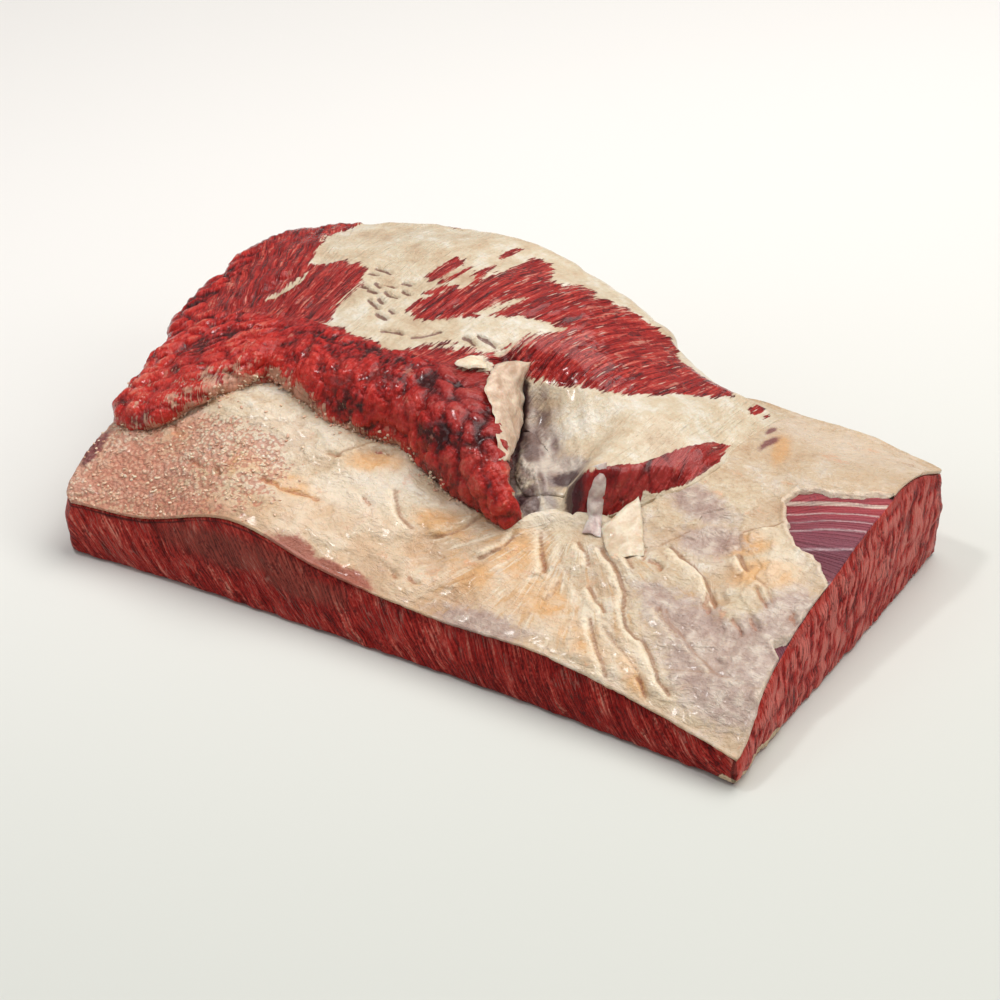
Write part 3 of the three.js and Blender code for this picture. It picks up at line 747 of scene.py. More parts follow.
strands = grapes(across + 0.3 * wy, along / 3.2, z / 2.0, 8.0)
wild = np.maximum(cut, 0.75 * (1 - ease(x, -172, -128)))
relief = lean * (0.9 * fibres * (1 - 0.6 * cut) + (0.8 + 4.0 * cut) * pebbles + 0.7 * lumps(across, along / 2, z, 15.0))
relief = relief + 2.2 * lean * wild * (1 - cut) * strands
relief = relief + shown * is_fat * (1.0 + skin * (1 - in_hollow)) + 2.2 * in_hollow * drapes
fat_cracks = near_lines(FAT_CRACKS, x + wander(x, y, 0 * x, 4.0), y + wander(x, y, 0 * x + 3, 4.0), 1.4) * is_fat
in_reach = ease(reach, -0.05, 0.15) * (1 - ease(reach, 0.95, 1.1))
relief = relief + in_reach * (2.6 * np.exp(-(((side - 8) / 3.5) ** 2)) - 3.5 * np.exp(-((crevice / 2.6) ** 2))) * shown
relief = relief - 2.2 * fat_cracks - 2.6 * np.exp(-((seam / 3.2) ** 2)) * lean + 0.8 * wander(x, y, z, 22.0) * shown
grid = grid + normals_of(grid) * relief[..., None]
flush = ease(x, 30, 95) * ease(y, 168, 196)
sink = flush * (1 - ease(to_edge, 0, 26)) * shown
grid[..., 2] -= sink * (np.maximum(grid[..., 2] - (lower_top(x, y) - 0.8), 0))
mound = ring_mesh("point_muscle_lean", grid, {
    "fibre": np.stack([across, along, z], -1),
    "fat": fat * (1 + 2.2 * ease(x, 25, 40) * (1 - ease(y - 1.1 * x, 85, 120))),
    "cut": cut,
    "relief": np.where(cut > 0.5, pebbles, 0.25 + 0.75 * strands),
    "rim": np.where(rows >= rim_row, np.abs(z - lower_top(x, y)) + 30 * ease(x, -60, -20), 60)
    - 7 * patches([(-165, 92, 34, 12, 42), (-126, 108, 18, 8, -5)], x, y),
    "drapes": in_hollow * drapes,
    "crumbs": 0.5 * lean * np.clip(1.1 - (z - lower_top(x, y)) / 8, 0, 1) * (1 - ease(x, -70, 0)) * (1 - ease(y, 118, 130))
    * ease(wander(x, y, z, 12.0), -0.3, 0.4),
    "crack": fat_cracks,
    # painted shade down the crevice of the hollow, and the same dark colour in a few patches beside it
    "crevice_shade_and_dark_patches": np.maximum(
        in_reach * np.exp(-((crevice / 3.6) ** 2)),
        patches([(42, 122, 11, 7, 30), (24, 96, 8, 6, 0), (54, 110, 5, 10, 0), (-9, 160, 4, 9, 20)], x, y),
    ),
    "marbled": ease(x, -135, -110) * (1 - 0.8 * ease(68 - y + x, 0, 12)) * (1 - ease(130 - y, 0, 12)),
    "grey": patches([(16, 136, 46, 18, -55), (40, 128, 16, 13, 0), (30, 98, 9, 12, 0)], x, y),
    "dark": np.maximum(bold, patches([(78, 142, 15, 44, -32), (57, 110, 8, 12, 0)], x, y)),
    "bright": patches([
        (-196, 78, 24, 30, 0), (-150, 118, 22, 9, 0), (-106, 110, 40, 8, 0), (-50, 106, 30, 5, 0), (98, 160, 7, 22, -30),
        (10, 88, 20, 5, -15),
    ], x, y),
})

# %% [markdown]
# ## Thin pieces of membrane
#
# Where the two muscles were pulled apart, thin skin is left behind: a torn flap that hangs into the hollow, a
# small flap of fat, and a loose corner on the right. Each is a strip with a thickness, lofted over the surface.

# %% Build the flaps
def flap(name, lattice, arch, thickness, columns=24, rows=56, ragged=1.0):
    """A thin skin through rows of two (x, y, z) places, raised by `arch` in its middle."""
    places = np.array(lattice, float)
    t, u = np.meshgrid(np.linspace(0, len(places) - 1, rows), np.linspace(0, 1, columns), indexing="ij")
    sheet = np.stack([surface(np.arange(len(places)), [0, 1], places[..., i], t, u) for i in range(3)], -1)
    down, across = np.gradient(sheet, axis=0), np.gradient(sheet, axis=1)
    out = np.cross(across, down)
    out = out * np.sign(out[..., 2].mean()) / np.linalg.norm(out, axis=2, keepdims=True)
    x, y, z = sheet[..., 0], sheet[..., 1], sheet[..., 2]
    sheet = sheet + ragged * np.stack([wander(x, y, z + k, 5.0) for k in (0, 20, 40)], -1)
    lift = arch * np.sin(math.pi * u) + 0.7 * crest(x, y, z, 6.0, 1.0)
    near_edge = np.minimum(np.minimum(u, 1 - u) * 7, np.minimum(t, len(places) - 1 - t) * 4)
    half = thickness / 2 * np.clip(near_edge, 0.12, 1)
    top, under = sheet + out * (lift + half)[..., None], sheet + out * (lift - half)[..., None]
    return ring_strip(name, np.concatenate([top, under[:, ::-1]], axis=1))


def ring_strip(name, grid):
    """A closed tube of rings, with a face over each end."""
    rings, count, _ = grid.shape
    faces = []
    for r in range(rings - 1):
        for k in range(count):
            n = (k + 1) % count
            faces.append([r * count + k, (r + 1) * count + k, (r + 1) * count + n, r * count + n])
    half = count // 2
    for r, flip in ((0, False), (rings - 1, True)):
        for k in range(half - 1):
            quad = [r * count + k, r * count + k + 1, r * count + count - 2 - k, r * count + count - 1 - k]
            faces.append(quad[::-1] if flip else quad)
    mesh = bpy.data.meshes.new(name)
    mesh.from_pydata(((grid.reshape(-1, 3) - [MIDDLE[0], MIDDLE[1], 0]) * MM).tolist(), [], faces)
    mesh.polygons.foreach_set("use_smooth", [True] * len(faces))
    mesh.validate()
    make = bmesh.new()
    make.from_mesh(mesh)
    bmesh.ops.recalc_face_normals(make, faces=make.faces)
    make.to_mesh(mesh)
    make.free()
    piece = bpy.data.objects.new(name, mesh)
    bpy.context.scene.collection.objects.link(piece)
    return piece


torn_flap = flap("torn_flap", [
    [(-27, 158, 98), (-14, 175, 96)], [(-16, 128, 101), (-14, 166, 88)], [(-5, 118, 97), (-10, 160, 79)],
    [(7, 102, 91), (-3, 146, 71)], [(15, 92, 83), (12, 106, 75)],
], 2.5, 1.4)
fat_tag = flap("fat_tag", [[(-43, 141, 104), (-34, 157, 104)], [(-38, 140, 104), (-30, 153, 103)], [(-33, 140, 103), (-25, 149, 101)]],
               1.5, 1.8, columns=16, rows=24)
corner_flap = flap("corner_flap", [
    [(74, 102, 53.5), (82, 128, 63)], [(79, 95, 53), (90, 118, 57.5)], [(84, 89, 52), (98, 105, 54.5)], [(92, 82, 50.5), (105, 94, 51)],
], 1.2, 1.0, ragged=0.6)
strand = flap("membrane_strand", [
    [(58, 116, 81), (66, 122, 83)], [(60, 112, 74), (68, 117, 75)], [(61, 109, 64), (69, 113, 65)],
    [(63, 105, 55), (71, 108, 56)], [(65, 96, 51), (77, 97, 52)],
], 1.0, 0.8, ragged=0.7)
print("flaps:", [piece.name for piece in (torn_flap, fat_tag, corner_flap, strand)])

# %% [markdown]
# ## Colours and nodes
#
# Colours are written as sRGB hex values, as a colour picker shows them, and turned to the linear values that a
# shader needs. One small function adds a node, sets its options and feeds its sockets.

# %% Colour and node helpers
def linear(text):
    parts = [int(text[i:i + 2], 16) / 255 for i in (1, 3, 5)]
    return [c / 12.92 if c <= 0.04045 else ((c + 0.055) / 1.055) ** 2.4 for c in parts] + [1.0]


def add(tree, kind, inputs=None, **settings):
    """Add a node: settings are its own options, inputs are values or the sockets that feed it."""
    node = tree.nodes.new(kind)
    for key, value in settings.items():
        setattr(node, key, value)
    for key, value in (inputs or {}).items():
        if isinstance(value, bpy.types.NodeSocket):
            tree.links.new(value, node.inputs[key])
        else:
            node.inputs[key].default_value = value
    return node


def tissue(name, roughness, coat, scatter, scatter_mm):
    """A new material with a moist surface: returns its tree and its Principled shader."""
    material = bpy.data.materials.new(name)
    material.use_nodes = True
    tree = material.node_tree
    shader = tree.nodes["Principled BSDF"]
    shader.inputs["Roughness"].default_value = roughness
    shader.inputs["IOR"].default_value = 1.4
    shader.inputs["Coat Weight"].default_value = coat
    shader.inputs["Specular IOR Level"].default_value = 0.3
    shader.inputs["Coat Roughness"].default_value = 0.13
    shader.inputs["Coat IOR"].default_value = 1.36
    shader.inputs["Subsurface Weight"].default_value = scatter
    shader.inputs["Subsurface Radius"].default_value = (1.0, 0.35, 0.22)
    shader.inputs["Subsurface Scale"].default_value = scatter_mm * MM
    return material, tree, shader


def held(tree, name, part=None):
    """The stored attribute of this name; part picks one of its three numbers."""
    node = add(tree, "ShaderNodeAttribute", attribute_name=name)
    if part is None:
        return node.outputs["Fac"]
    return add(tree, "ShaderNodeSeparateXYZ", {0: node.outputs["Vector"]}).outputs[part]


def pattern(tree, vector, size_mm, detail=3.0, stretch=(1, 1, 1), offset=0.0, distortion=0.0):
    """Soft noise about size_mm across on coordinates in mm, longer by `stretch` in each direction."""
    scale = [1 / (size_mm * s) for s in stretch]
    place = add(tree, "ShaderNodeMapping", {"Vector": vector, "Scale": scale, "Location": [offset] * 3})
    noise = {"Vector": place.outputs[0], "Scale": 1.0, "Detail": detail, "Distortion": distortion}
    return add(tree, "ShaderNodeTexNoise", noise).outputs["Fac"]


def bundles(tree, vector, size_mm, stretch, wobble=0.5, offset=0.0):
    """Long cells packed side by side: the distance to the nearest seam (0 to about 0.5) and a chance tone for each."""
    scale = [1 / (size_mm * s) for s in stretch]
    place = add(tree, "ShaderNodeMapping", {"Vector": vector, "Scale": scale, "Location": [offset] * 3}).outputs[0]
    sway = add(tree, "ShaderNodeTexNoise", {"Vector": place, "Scale": 0.9, "Detail": 3.0}).outputs["Color"]
    bent = {0: sway, 1: [wobble] * 3, 2: place}
    place = add(tree, "ShaderNodeVectorMath", bent, operation="MULTIPLY_ADD").outputs[0]
    seam = add(tree, "ShaderNodeTexVoronoi", {"Vector": place, "Scale": 1.0}, feature="DISTANCE_TO_EDGE")
    cell = add(tree, "ShaderNodeTexVoronoi", {"Vector": place, "Scale": 1.0})
    tone = add(tree, "ShaderNodeSeparateColor", {0: cell.outputs["Color"]}).outputs[0]
    return seam.outputs["Distance"], tone, cell.outputs["Distance"]


def total(tree, value, *terms):
    """value plus each (socket, factor, constant) term."""
    for socket, factor, constant in terms:
        part = add(tree, "ShaderNodeMath", {0: socket, 1: factor, 2: constant}, operation="MULTIPLY_ADD").outputs[0]
        value = add(tree, "ShaderNodeMath", {0: value, 1: part}, operation="ADD").outputs[0]
    return value


def step(tree, value, low, high, most=1.0):
    """A smooth rise from 0 to `most` as the value goes from low to high."""
    limits = {"Value": value, "From Min": low, "From Max": high, "To Max": most}
    return add(tree, "ShaderNodeMapRange", limits, interpolation_type="SMOOTHSTEP").outputs[0]


def ramp(tree, value, *stops):
    node = add(tree, "ShaderNodeValToRGB", {0: value})
    bar = node.color_ramp.elements
    while len(bar) < len(stops):
        bar.new(0.5)
    for element, (place, shade) in zip(bar, stops):
        element.position = place
        element.color = linear(shade)
    return node.outputs[0]


def painted(tree, base, *layers):
    """The base colour with layers over it, each a (mask, colour): a colour is a hex value or a socket."""
    for mask, shade in layers:
        shade = linear(shade) if isinstance(shade, str) else shade
        base = add(tree, "ShaderNodeMix", {0: mask, 6: base, 7: shade}, data_type="RGBA").outputs[2]
    return base


def rough_relief(tree, shader, height, depth_mm):
    bump = add(tree, "ShaderNodeBump", {"Height": height, "Distance": depth_mm * MM, "Strength": 1.0})
    tree.links.new(bump.outputs[0], shader.inputs["Normal"])


def hairlines(tree, value, width):
    """Thin lines where soft noise crosses its middle value."""
    away = add(tree, "ShaderNodeMath", {0: value, 1: 0.5}, operation="SUBTRACT").outputs[0]
    away = add(tree, "ShaderNodeMath", {0: away}, operation="ABSOLUTE").outputs[0]
    return step(tree, away, width, 0.2 * width)


def both(tree, *masks):
    value = masks[0]
    for mask in masks[1:]:
        value = add(tree, "ShaderNodeMath", {0: value, 1: mask}, operation="MULTIPLY").outputs[0]
    return value


def millimetres(tree):
    """The object's own coordinates in mm."""
    place = add(tree, "ShaderNodeTexCoord").outputs["Object"]
    return add(tree, "ShaderNodeMapping", {"Vector": place, "Scale": (1000, 1000, 1000)}).outputs[0]


# %% [markdown]
# ## Lean and fat on the point muscle
#
# Raw lean is red because light goes a few millimetres into it, so the shader scatters. Its fibres are drawn along
# the stored fibre direction: streaks 3 mm wide and 10 times as long. Fat is cream, smoother and a little yellow.

# %% Material of the point muscle
def fat_colour(tree, place):
    """Cream beef fat: cloudy, from tan through cream to nearly white."""
    cloud = pattern(tree, place, 24.0, 4.0, offset=5.0)
    patch = pattern(tree, place, 8.0, 4.0, offset=4.0)
    speck = pattern(tree, place, 2.2, 4.0, offset=9.0)
    value = total(tree, cloud, (patch, 0.55, -0.27), (speck, 0.35, -0.17))
    shades = (0.22, "#bba084"), (0.38, "#cab497"), (0.54, "#d4c4aa"), (0.74, "#e2dacb")
    return ramp(tree, value, *shades), patch, speck


def mound_material():
    material, tree, shader = tissue("raw_beef_point_muscle", 0.42, 0.5, 0.08, 1.4)
    fibre = add(tree, "ShaderNodeAttribute", attribute_name="fibre").outputs["Vector"]
    place = millimetres(tree)
    streak = pattern(tree, fibre, 3.0, 4.0, (1, 9, 6), distortion=0.6)
    fine = pattern(tree, fibre, 1.1, 4.0, (1, 14, 8), 7.0, 0.4)
    broad = pattern(tree, fibre, 16.0, 3.0, (1, 2.2, 2), 3.0)
    fat, cloud, speck = fat_colour(tree, place)
    seam, tone, _ = bundles(tree, fibre, 2.4, (1, 8, 5), 0.6)
    grain = total(tree, streak, (fine, 0.6, -0.3), (broad, 0.35, -0.17), (speck, 0.25, -0.12), (tone, 0.16, -0.08))
    lean = ramp(tree, grain, (0.26, "#4e0506"), (0.38, "#7e0f0e"), (0.52, "#a01e1a"), (0.66, "#ba372d"), (0.82, "#d38573"))
    gap = both(tree, step(tree, total(tree, seam, (speck, 0.3, -0.15)), 0.09, 0.0), step(tree, broad, 0.42, 0.6, 0.75))
    _, pick, near = bundles(tree, fibre, 1.6, (1, 9, 6), 0.5, 11.0)
    dash = both(tree, step(tree, total(tree, near, (fine, 0.5, -0.25), (speck, 0.3, -0.15)), 0.26, 0.13), step(tree, pick, 0.55, 0.6, 0.7))
    # painted light and shade: the cut lumps are coloured by their relief, dark red in the creases between them and pale
    # on their tops, over the lean's own red; the dark lumps below are shaded the same way
    relief_shading = total(tree, held(tree, "relief"), (speck, 0.5, -0.25), (cloud, 0.45, -0.22), (fine, 0.3, -0.15))
    lumpy = ramp(tree, relief_shading, (0.24, "#3c0304"), (0.42, "#8c0d0c"), (0.6, "#b9221c"), (0.82, "#c93a2e"), (1.0, "#de7a64"))
    cut = step(tree, total(tree, held(tree, "cut"), (cloud, 0.8, -0.4), (streak, 0.5, -0.25)), 0.2, 0.8)
    shade = step(tree, total(tree, held(tree, "relief"), (speck, 0.2, -0.1)), 0.25, 0.7)
    grape = ramp(tree, shade, (0.0, "#360407"), (0.4, "#6a0f10"), (0.8, "#861a19"), (1.0, "#9d302d"))
    # painted shade down the crevice of the hollow, and the same dark colour in a few patches beside it
    crevice_shade_and_dark_patches = step(tree, total(tree, held(tree, "crevice_shade_and_dark_patches"), (speck, 0.6, -0.3), (cloud, 0.5, -0.25)), 0.2, 0.75, 0.9)
    ragged = total(tree, held(tree, "fat"), (streak, 12.0, -6.0), (fine, 6.0, -3.0), (speck, 3.0, -1.5))
    fat_mask = step(tree, ragged, -0.8, 0.9)
    marbled = total(tree, held(tree, "fat"), (fine, 50.0, -31.0), (broad, 18.0, -9.0))
    veins = both(tree, step(tree, marbled, -4.0, 1.5, 0.7), step(tree, held(tree, "cut"), 0.7, 0.3))
    dash = both(tree, dash, step(tree, held(tree, "cut"), 0.6, 0.2), step(tree, held(tree, "marbled"), 0.1, 0.6))
    gap = both(tree, gap, step(tree, held(tree, "cut"), 0.8, 0.3))
    pale_rim = total(tree, held(tree, "rim"), (cloud, 30.0, -15.0), (speck, 14.0, -7.0), (fine, 20.0, -10.0))
    pale_rim = step(tree, pale_rim, 6.0, 1.0, 0.75)
    crumb = add(tree, "ShaderNodeMapping", {"Vector": place, "Scale": (0.36, 0.3, 0.3)}).outputs[0]
    crumb = add(tree, "ShaderNodeTexVoronoi", {"Vector": crumb, "Scale": 1.0}, feature="F1").outputs["Distance"]
    cracked = step(tree, total(tree, held(tree, "crack"), (speck, 0.7, -0.35), (cloud, 0.5, -0.25)), 0.4, 0.75, 0.8)
    tissue_bits = step(tree, total(tree, cloud, (streak, 0.9, -0.45), (speck, 0.4, -0.2)), 0.66, 0.8, 0.45)
    bright = both(tree, held(tree, "bright"), step(tree, cloud, 0.3, 0.6, 0.6))
    dark = both(tree, held(tree, "dark"), step(tree, total(tree, cloud, (speck, 0.3, -0.15)), 0.15, 0.4, 0.95))
    grey = step(tree, total(tree, held(tree, "grey"), (cloud, 0.8, -0.4), (streak, 0.3, -0.15)), 0.3, 0.75, 0.85)
    # painted light and shade: the grey sheath in the hollow is paler on the crests of its drapes and darker between
    # them, over its own grey
    skin = ramp(
        tree, total(tree, step(tree, held(tree, "drapes"), 0.7, 1.5), (streak, 0.8, -0.4), (cloud, 0.9, -0.45)),
        (0.05, "#54353a"), (0.3, "#88726f"), (0.6, "#aa9c95"), (0.95, "#c9bdb1"),
    )
    base = painted(
        tree, lean, (gap, "#45090a"), (cut, lumpy), (bright, "#c5352a"), (veins, "#dcb5a0"), (dash, "#dfbfac"),
        (tissue_bits, "#cf9580"), (dark, grape), (pale_rim, "#d2a489"),
        (fat_mask, fat), (both(tree, grey, fat_mask), skin), (cracked, "#6d3a30"),
        (crevice_shade_and_dark_patches, "#3c1d22"),
    )
    tree.links.new(base, shader.inputs["Base Color"])
    sheen = {"Value": total(tree, fat_mask, (speck, 0.6, -0.3)), "To Min": 0.2, "To Max": 0.4}
    tree.links.new(add(tree, "ShaderNodeMapRange", sheen).outputs[0], shader.inputs["Roughness"])
    soft_seam = both(tree, step(tree, seam, 0.0, 0.25), step(tree, held(tree, "cut"), 0.9, 0.4), step(tree, fat_mask, 0.6, 0.1))
    bumps = total(
        tree, streak, (fine, 0.7, 0.0), (speck, 0.8, 0.0), (cloud, 0.7, 0.0), (both(tree, crumb, cut), -1.2, 0.0),
        (soft_seam, 0.45, 0.0),
    )
    rough_relief(tree, shader, bumps, 1.2)
    return material


# %% [markdown]
# ## Fat over the slab
#
# Brisket fat isn't one colour: it is cream to white where it is thick, pinkish where lean shows through, warm
# yellow by the folds, and grey where a sheath of silverskin lies over it.

# %% Material of the fat
def cover_material():
    material, tree, shader = tissue("brisket_fat_cover", 0.4, 0.35, 0.15, 2.5)
    shader.inputs["Subsurface Radius"].default_value = (1.0, 0.6, 0.35)
    place = millimetres(tree)
    fat, patch, speck = fat_colour(tree, place)
    wrinkle = pattern(tree, place, 4.0, 4.0, (1.8, 1, 1), 2.0, 1.6)
    thread = pattern(tree, place, 1.2, 3.0, (5, 1, 1), 6.0, 0.8)

    def soft(name, low, high, most):
        value = total(tree, held(tree, name), (patch, 0.8, -0.4), (speck, 0.5, -0.25))
        return step(tree, value, low, high, most)

    # painted shade: the fat is darkened where its relief sinks low
    shade_in_dips = step(tree, total(tree, held(tree, "relief"), (wrinkle, 1.6, -0.8), (speck, 0.8, -0.4)), 1.1, 0.2, 0.35)
    # painted highlight: the fat is lightened where its relief stands high
    relief_shading = step(tree, total(tree, held(tree, "relief"), (wrinkle, 1.2, -0.6)), 1.5, 2.3, 0.4)
    # painted shade in the valley beside each fold and a painted highlight along each fold's crest
    shaded_valley = step(tree, total(tree, held(tree, "valley_shade"), (wrinkle, 0.5, -0.25)), 0.25, 0.8, 0.75)
    fold_highlight = step(tree, total(tree, held(tree, "fold"), (speck, 0.5, -0.25)), 0.45, 0.9, 0.7)
    crack = step(tree, total(tree, held(tree, "crack"), (speck, 0.9, -0.45), (patch, 0.9, -0.45)), 0.5, 0.9, 0.5)
    torn = step(tree, total(tree, held(tree, "bare"), (speck, 2.0, -1.0)), -3.2, -0.5, 0.55)
    spots = pattern(tree, place, 13.0, 3.0, offset=21.0, distortion=0.8)
    blush = step(tree, total(tree, spots, (speck, 0.35, -0.17), (wrinkle, 0.2, -0.1)), 0.62, 0.78, 0.45)
    grain = add(tree, "ShaderNodeMapping", {"Vector": place, "Scale": (0.42, 0.38, 0.4)}).outputs[0]
    grain = add(tree, "ShaderNodeTexVoronoi", {"Vector": grain, "Scale": 1.0}, feature="F1").outputs["Distance"]
    grain = both(tree, grain, step(tree, held(tree, "curds"), 0.05, 0.6))
    between = step(tree, total(tree, grain, (speck, 0.5, -0.25)), 0.3, 0.55, 0.65)
    radial = add(tree, "ShaderNodeAttribute", attribute_name="radial").outputs["Vector"]
    flat = add(tree, "ShaderNodeVectorMath", {0: radial, 1: (1, 1, 0)}, operation="MULTIPLY").outputs[0]
    thread_lines = pattern(tree, flat, 2.6, 4.0, (1, 1.6, 1), 17.0, 0.5)
    radiate = held(tree, "radial", 2)
    light_thread = both(tree, step(tree, thread_lines, 0.54, 0.68, 0.55), radiate)
    warm_thread = both(tree, step(tree, thread_lines, 0.46, 0.34, 0.6), radiate)
    ridged = hairlines(tree, pattern(tree, place, 9.0, 3.0, (1.5, 1, 1), 31.0, 1.4), 0.03)
    ridged = both(tree, ridged, step(tree, patch, 0.4, 0.6))
    # painted shade: a faint darker line along the fine wrinkles
    wrinkle_shade = add(tree, "ShaderNodeMath", {0: ridged, 1: 0.12}, operation="MULTIPLY").outputs[0]
    sheath = ramp(tree, total(tree, patch, (wrinkle, 0.5, -0.25)), (0.34, "#a1877f"), (0.5, "#b39c92"), (0.66, "#cdbdb0"))
    base = painted(
        tree, fat, (soft("tan", 0.1, 0.9, 0.75), "#d8ae88"), (soft("pink", 0.1, 0.9, 0.75), "#cf937b"),
        (soft("warm", 0.15, 0.8, 0.85), "#d9a872"), (soft("white", 0.2, 0.9, 0.7), "#e9dbc6"),
        (blush, "#dd9468"), (shade_in_dips, "#b08a6a"), (relief_shading, "#e4d5bf"), (between, "#bb7460"), (light_thread, "#eadfc9"),
        (warm_thread, "#c99c6a"), (wrinkle_shade, "#b98d68"), (soft("grey", 0.05, 0.5, 0.85), sheath),
        (shaded_valley, "#94684a"),
        (fold_highlight, "#efdfc4"), (crack, "#a9653f"), (soft("stain", 0.3, 0.75, 0.75), "#97362f"), (soft("purple", 0.3, 0.8, 0.85), "#6f3038"),
        (torn, "#eddcc8"),
    )
    tree.links.new(base, shader.inputs["Base Color"])
    sheen = {"Value": total(tree, patch, (speck, 0.8, -0.4)), "To Min": 0.2, "To Max": 0.42}
    tree.links.new(add(tree, "ShaderNodeMapRange", sheen).outputs[0], shader.inputs["Roughness"])
    even = add(tree, "ShaderNodeMath", {0: wrinkle, 1: 0.85}, operation="MULTIPLY").outputs[0]
    rough_relief(tree, shader, total(tree, even, (speck, 0.4, 0.0), (patch, 1.5, 0.0), (thread, 0.1, 0.0), (grain, -1.3, 0.0),
                                     (both(tree, thread_lines, radiate), 0.7, 0.0), (ridged, -0.15, 0.0)), 1.2)
    return material


# %% [markdown]
# ## Cut lean of the slab
#
# The sides are cut faces. Muscle bundles show end on, between thin lines of paler tissue. The right-hand cut
# catches more light and is pinker. A film of silverskin with white bands lies on the bare patch.

# %% Material of the slab
def slab_material():
    material, tree, shader = tissue("raw_beef_flat_muscle", 0.38, 0.06, 0.1, 1.2)
    shader.inputs["Specular IOR Level"].default_value = 0.2
    face = add(tree, "ShaderNodeAttribute", attribute_name="face").outputs["Vector"]
    place = millimetres(tree)
    bundle = pattern(tree, face, 2.0, 5.0, (1, 4.5, 1), distortion=0.5)
    fine = pattern(tree, face, 0.8, 4.0, (1, 7, 1), 5.0, 0.3)
    cloud = pattern(tree, place, 18.0, 4.0, offset=6.0)
    speck = pattern(tree, place, 1.6, 4.0, offset=2.0)
    seam, tone, _ = bundles(tree, face, 2.3, (1, 5, 1), 0.7)
    # Both cut faces take part of their colour from their relief, as painted shade and light: the right-hand ridges come
    # out dark in their grooves and pale on their crests over the lean's own red, and the front streaks take a little of
    # the same.
    streaks = total(
        tree, bundle, (fine, 0.5, -0.25), (cloud, 0.35, -0.17), (held(tree, "relief"), 0.25, -0.12), (tone, 0.2, -0.1), (speck, 0.5, -0.25),
    )
    front = ramp(tree, streaks, (0.26, "#580605"), (0.42, "#88120f"), (0.56, "#a4231d"), (0.72, "#bd4237"), (0.9, "#d28472"))
    waves = total(tree, held(tree, "relief"), (fine, 0.4, -0.2), (cloud, 0.4, -0.2), (speck, 0.45, -0.22), (tone, 0.22, -0.11))
    right = ramp(tree, waves, (0.0, "#5a0b0b"), (0.16, "#951c1a"), (0.36, "#bb3832"), (0.62, "#d36c62"))
    seamed = step(tree, total(tree, seam, (speck, 0.3, -0.15)), 0.1, 0.0)
    dark_seam, pale_seam = both(tree, seamed, step(tree, cloud, 0.46, 0.56, 0.7)), both(tree, seamed, step(tree, cloud, 0.5, 0.4, 0.35))
    is_right = step(tree, held(tree, "face", 2), 0.4, 0.6)
    fresh = step(tree, total(tree, held(tree, "brim"), (cloud, 9.0, -4.5), (speck, 5.0, -2.5)), 7.0, 2.0, 0.6)
    fresh = both(tree, fresh, step(tree, held(tree, "face", 2), 0.4, 0.6), step(tree, held(tree, "brim"), 0.0, 0.5))
    bare = step(tree, held(tree, "bare"), -6.0, -3.0)
    stripe = add(tree, "ShaderNodeMapRange", {"Value": total(tree, held(tree, "stripe"), (speck, 1.6, -0.8)),
                                              "From Min": 20.0, "From Max": 110.0}).outputs[0]
    bands = ramp(
        tree, stripe, (0.0, "#79434f"), (0.07, "#7c4651"), (0.09, "#b2969b"), (0.11, "#7c4550"), (0.36, "#7a4450"),
        (0.375, "#b8999f"), (0.395, "#854b57"), (0.53, "#8c4a56"), (0.545, "#c8aaac"), (0.56, "#934b56"), (0.62, "#974c56"),
        (0.63, "#c19da0"), (0.645, "#9c4a54"), (0.7, "#a44a52"), (0.71, "#d3b3ae"), (0.725, "#a84850"), (0.79, "#ad4a50"),
        (0.8, "#dfc2b4"), (0.83, "#dfc2b4"), (0.84, "#ae4f55"), (0.95, "#ae535a"),
    )
    film = painted(tree, bands, (step(tree, total(tree, cloud, (speck, 0.7, -0.35)), 0.5, 0.8, 0.5), "#8d5660"))
    rind = step(tree, total(tree, held(tree, "foot_fat"), (speck, 1.6, -0.8)), -0.3, 0.4)
    dull = step(tree, total(tree, held(tree, "dull"), (cloud, 0.8, -0.4), (fine, 0.4, -0.2)), 0.2, 0.8, 0.6)
    # painted shadow under the overhanging fat lip
    shadow_under_fat_lip = step(tree, total(tree, held(tree, "shadow_under_fat_lip"), (cloud, 0.9, -0.4), (speck, 0.5, -0.25)), 0.35, 0.8, 0.85)
    base = painted(
        tree, front, (dull, "#84483c"), (is_right, right), (dark_seam, "#470a0b"), (pale_seam, "#c78a7b"), (fresh, "#b83228"),
        (shadow_under_fat_lip, "#3a0f10"), (bare, film), (rind, "#dcc3a2"),
    )
    tree.links.new(base, shader.inputs["Base Color"])
    sheen = {"Value": total(tree, cloud, (speck, 0.9, -0.45)), "To Min": 0.26, "To Max": 0.52}
    tree.links.new(add(tree, "ShaderNodeMapRange", sheen).outputs[0], shader.inputs["Roughness"])
    rough_relief(tree, shader, total(tree, bundle, (fine, 0.6, 0.0), (speck, 0.9, 0.0), (step(tree, seam, 0.0, 0.2), 0.6, 0.0)), 1.1)
    return material


def membrane_material(name, shade, pale):
    material, tree, shader = tissue(name, 0.35, 0.45, 0.3, 2.0)
    place = millimetres(tree)
    cloud = pattern(tree, place, 7.0, 5.0, (1, 2, 1), distortion=0.7)
    speck = pattern(tree, place, 1.8, 4.0, offset=3.0)
    value = total(tree, cloud, (speck, 0.4, -0.2))
    tree.links.new(ramp(tree, value, (0.35, shade), (0.65, pale)), shader.inputs["Base Color"])
    rough_relief(tree, shader, value, 0.8)
    return material


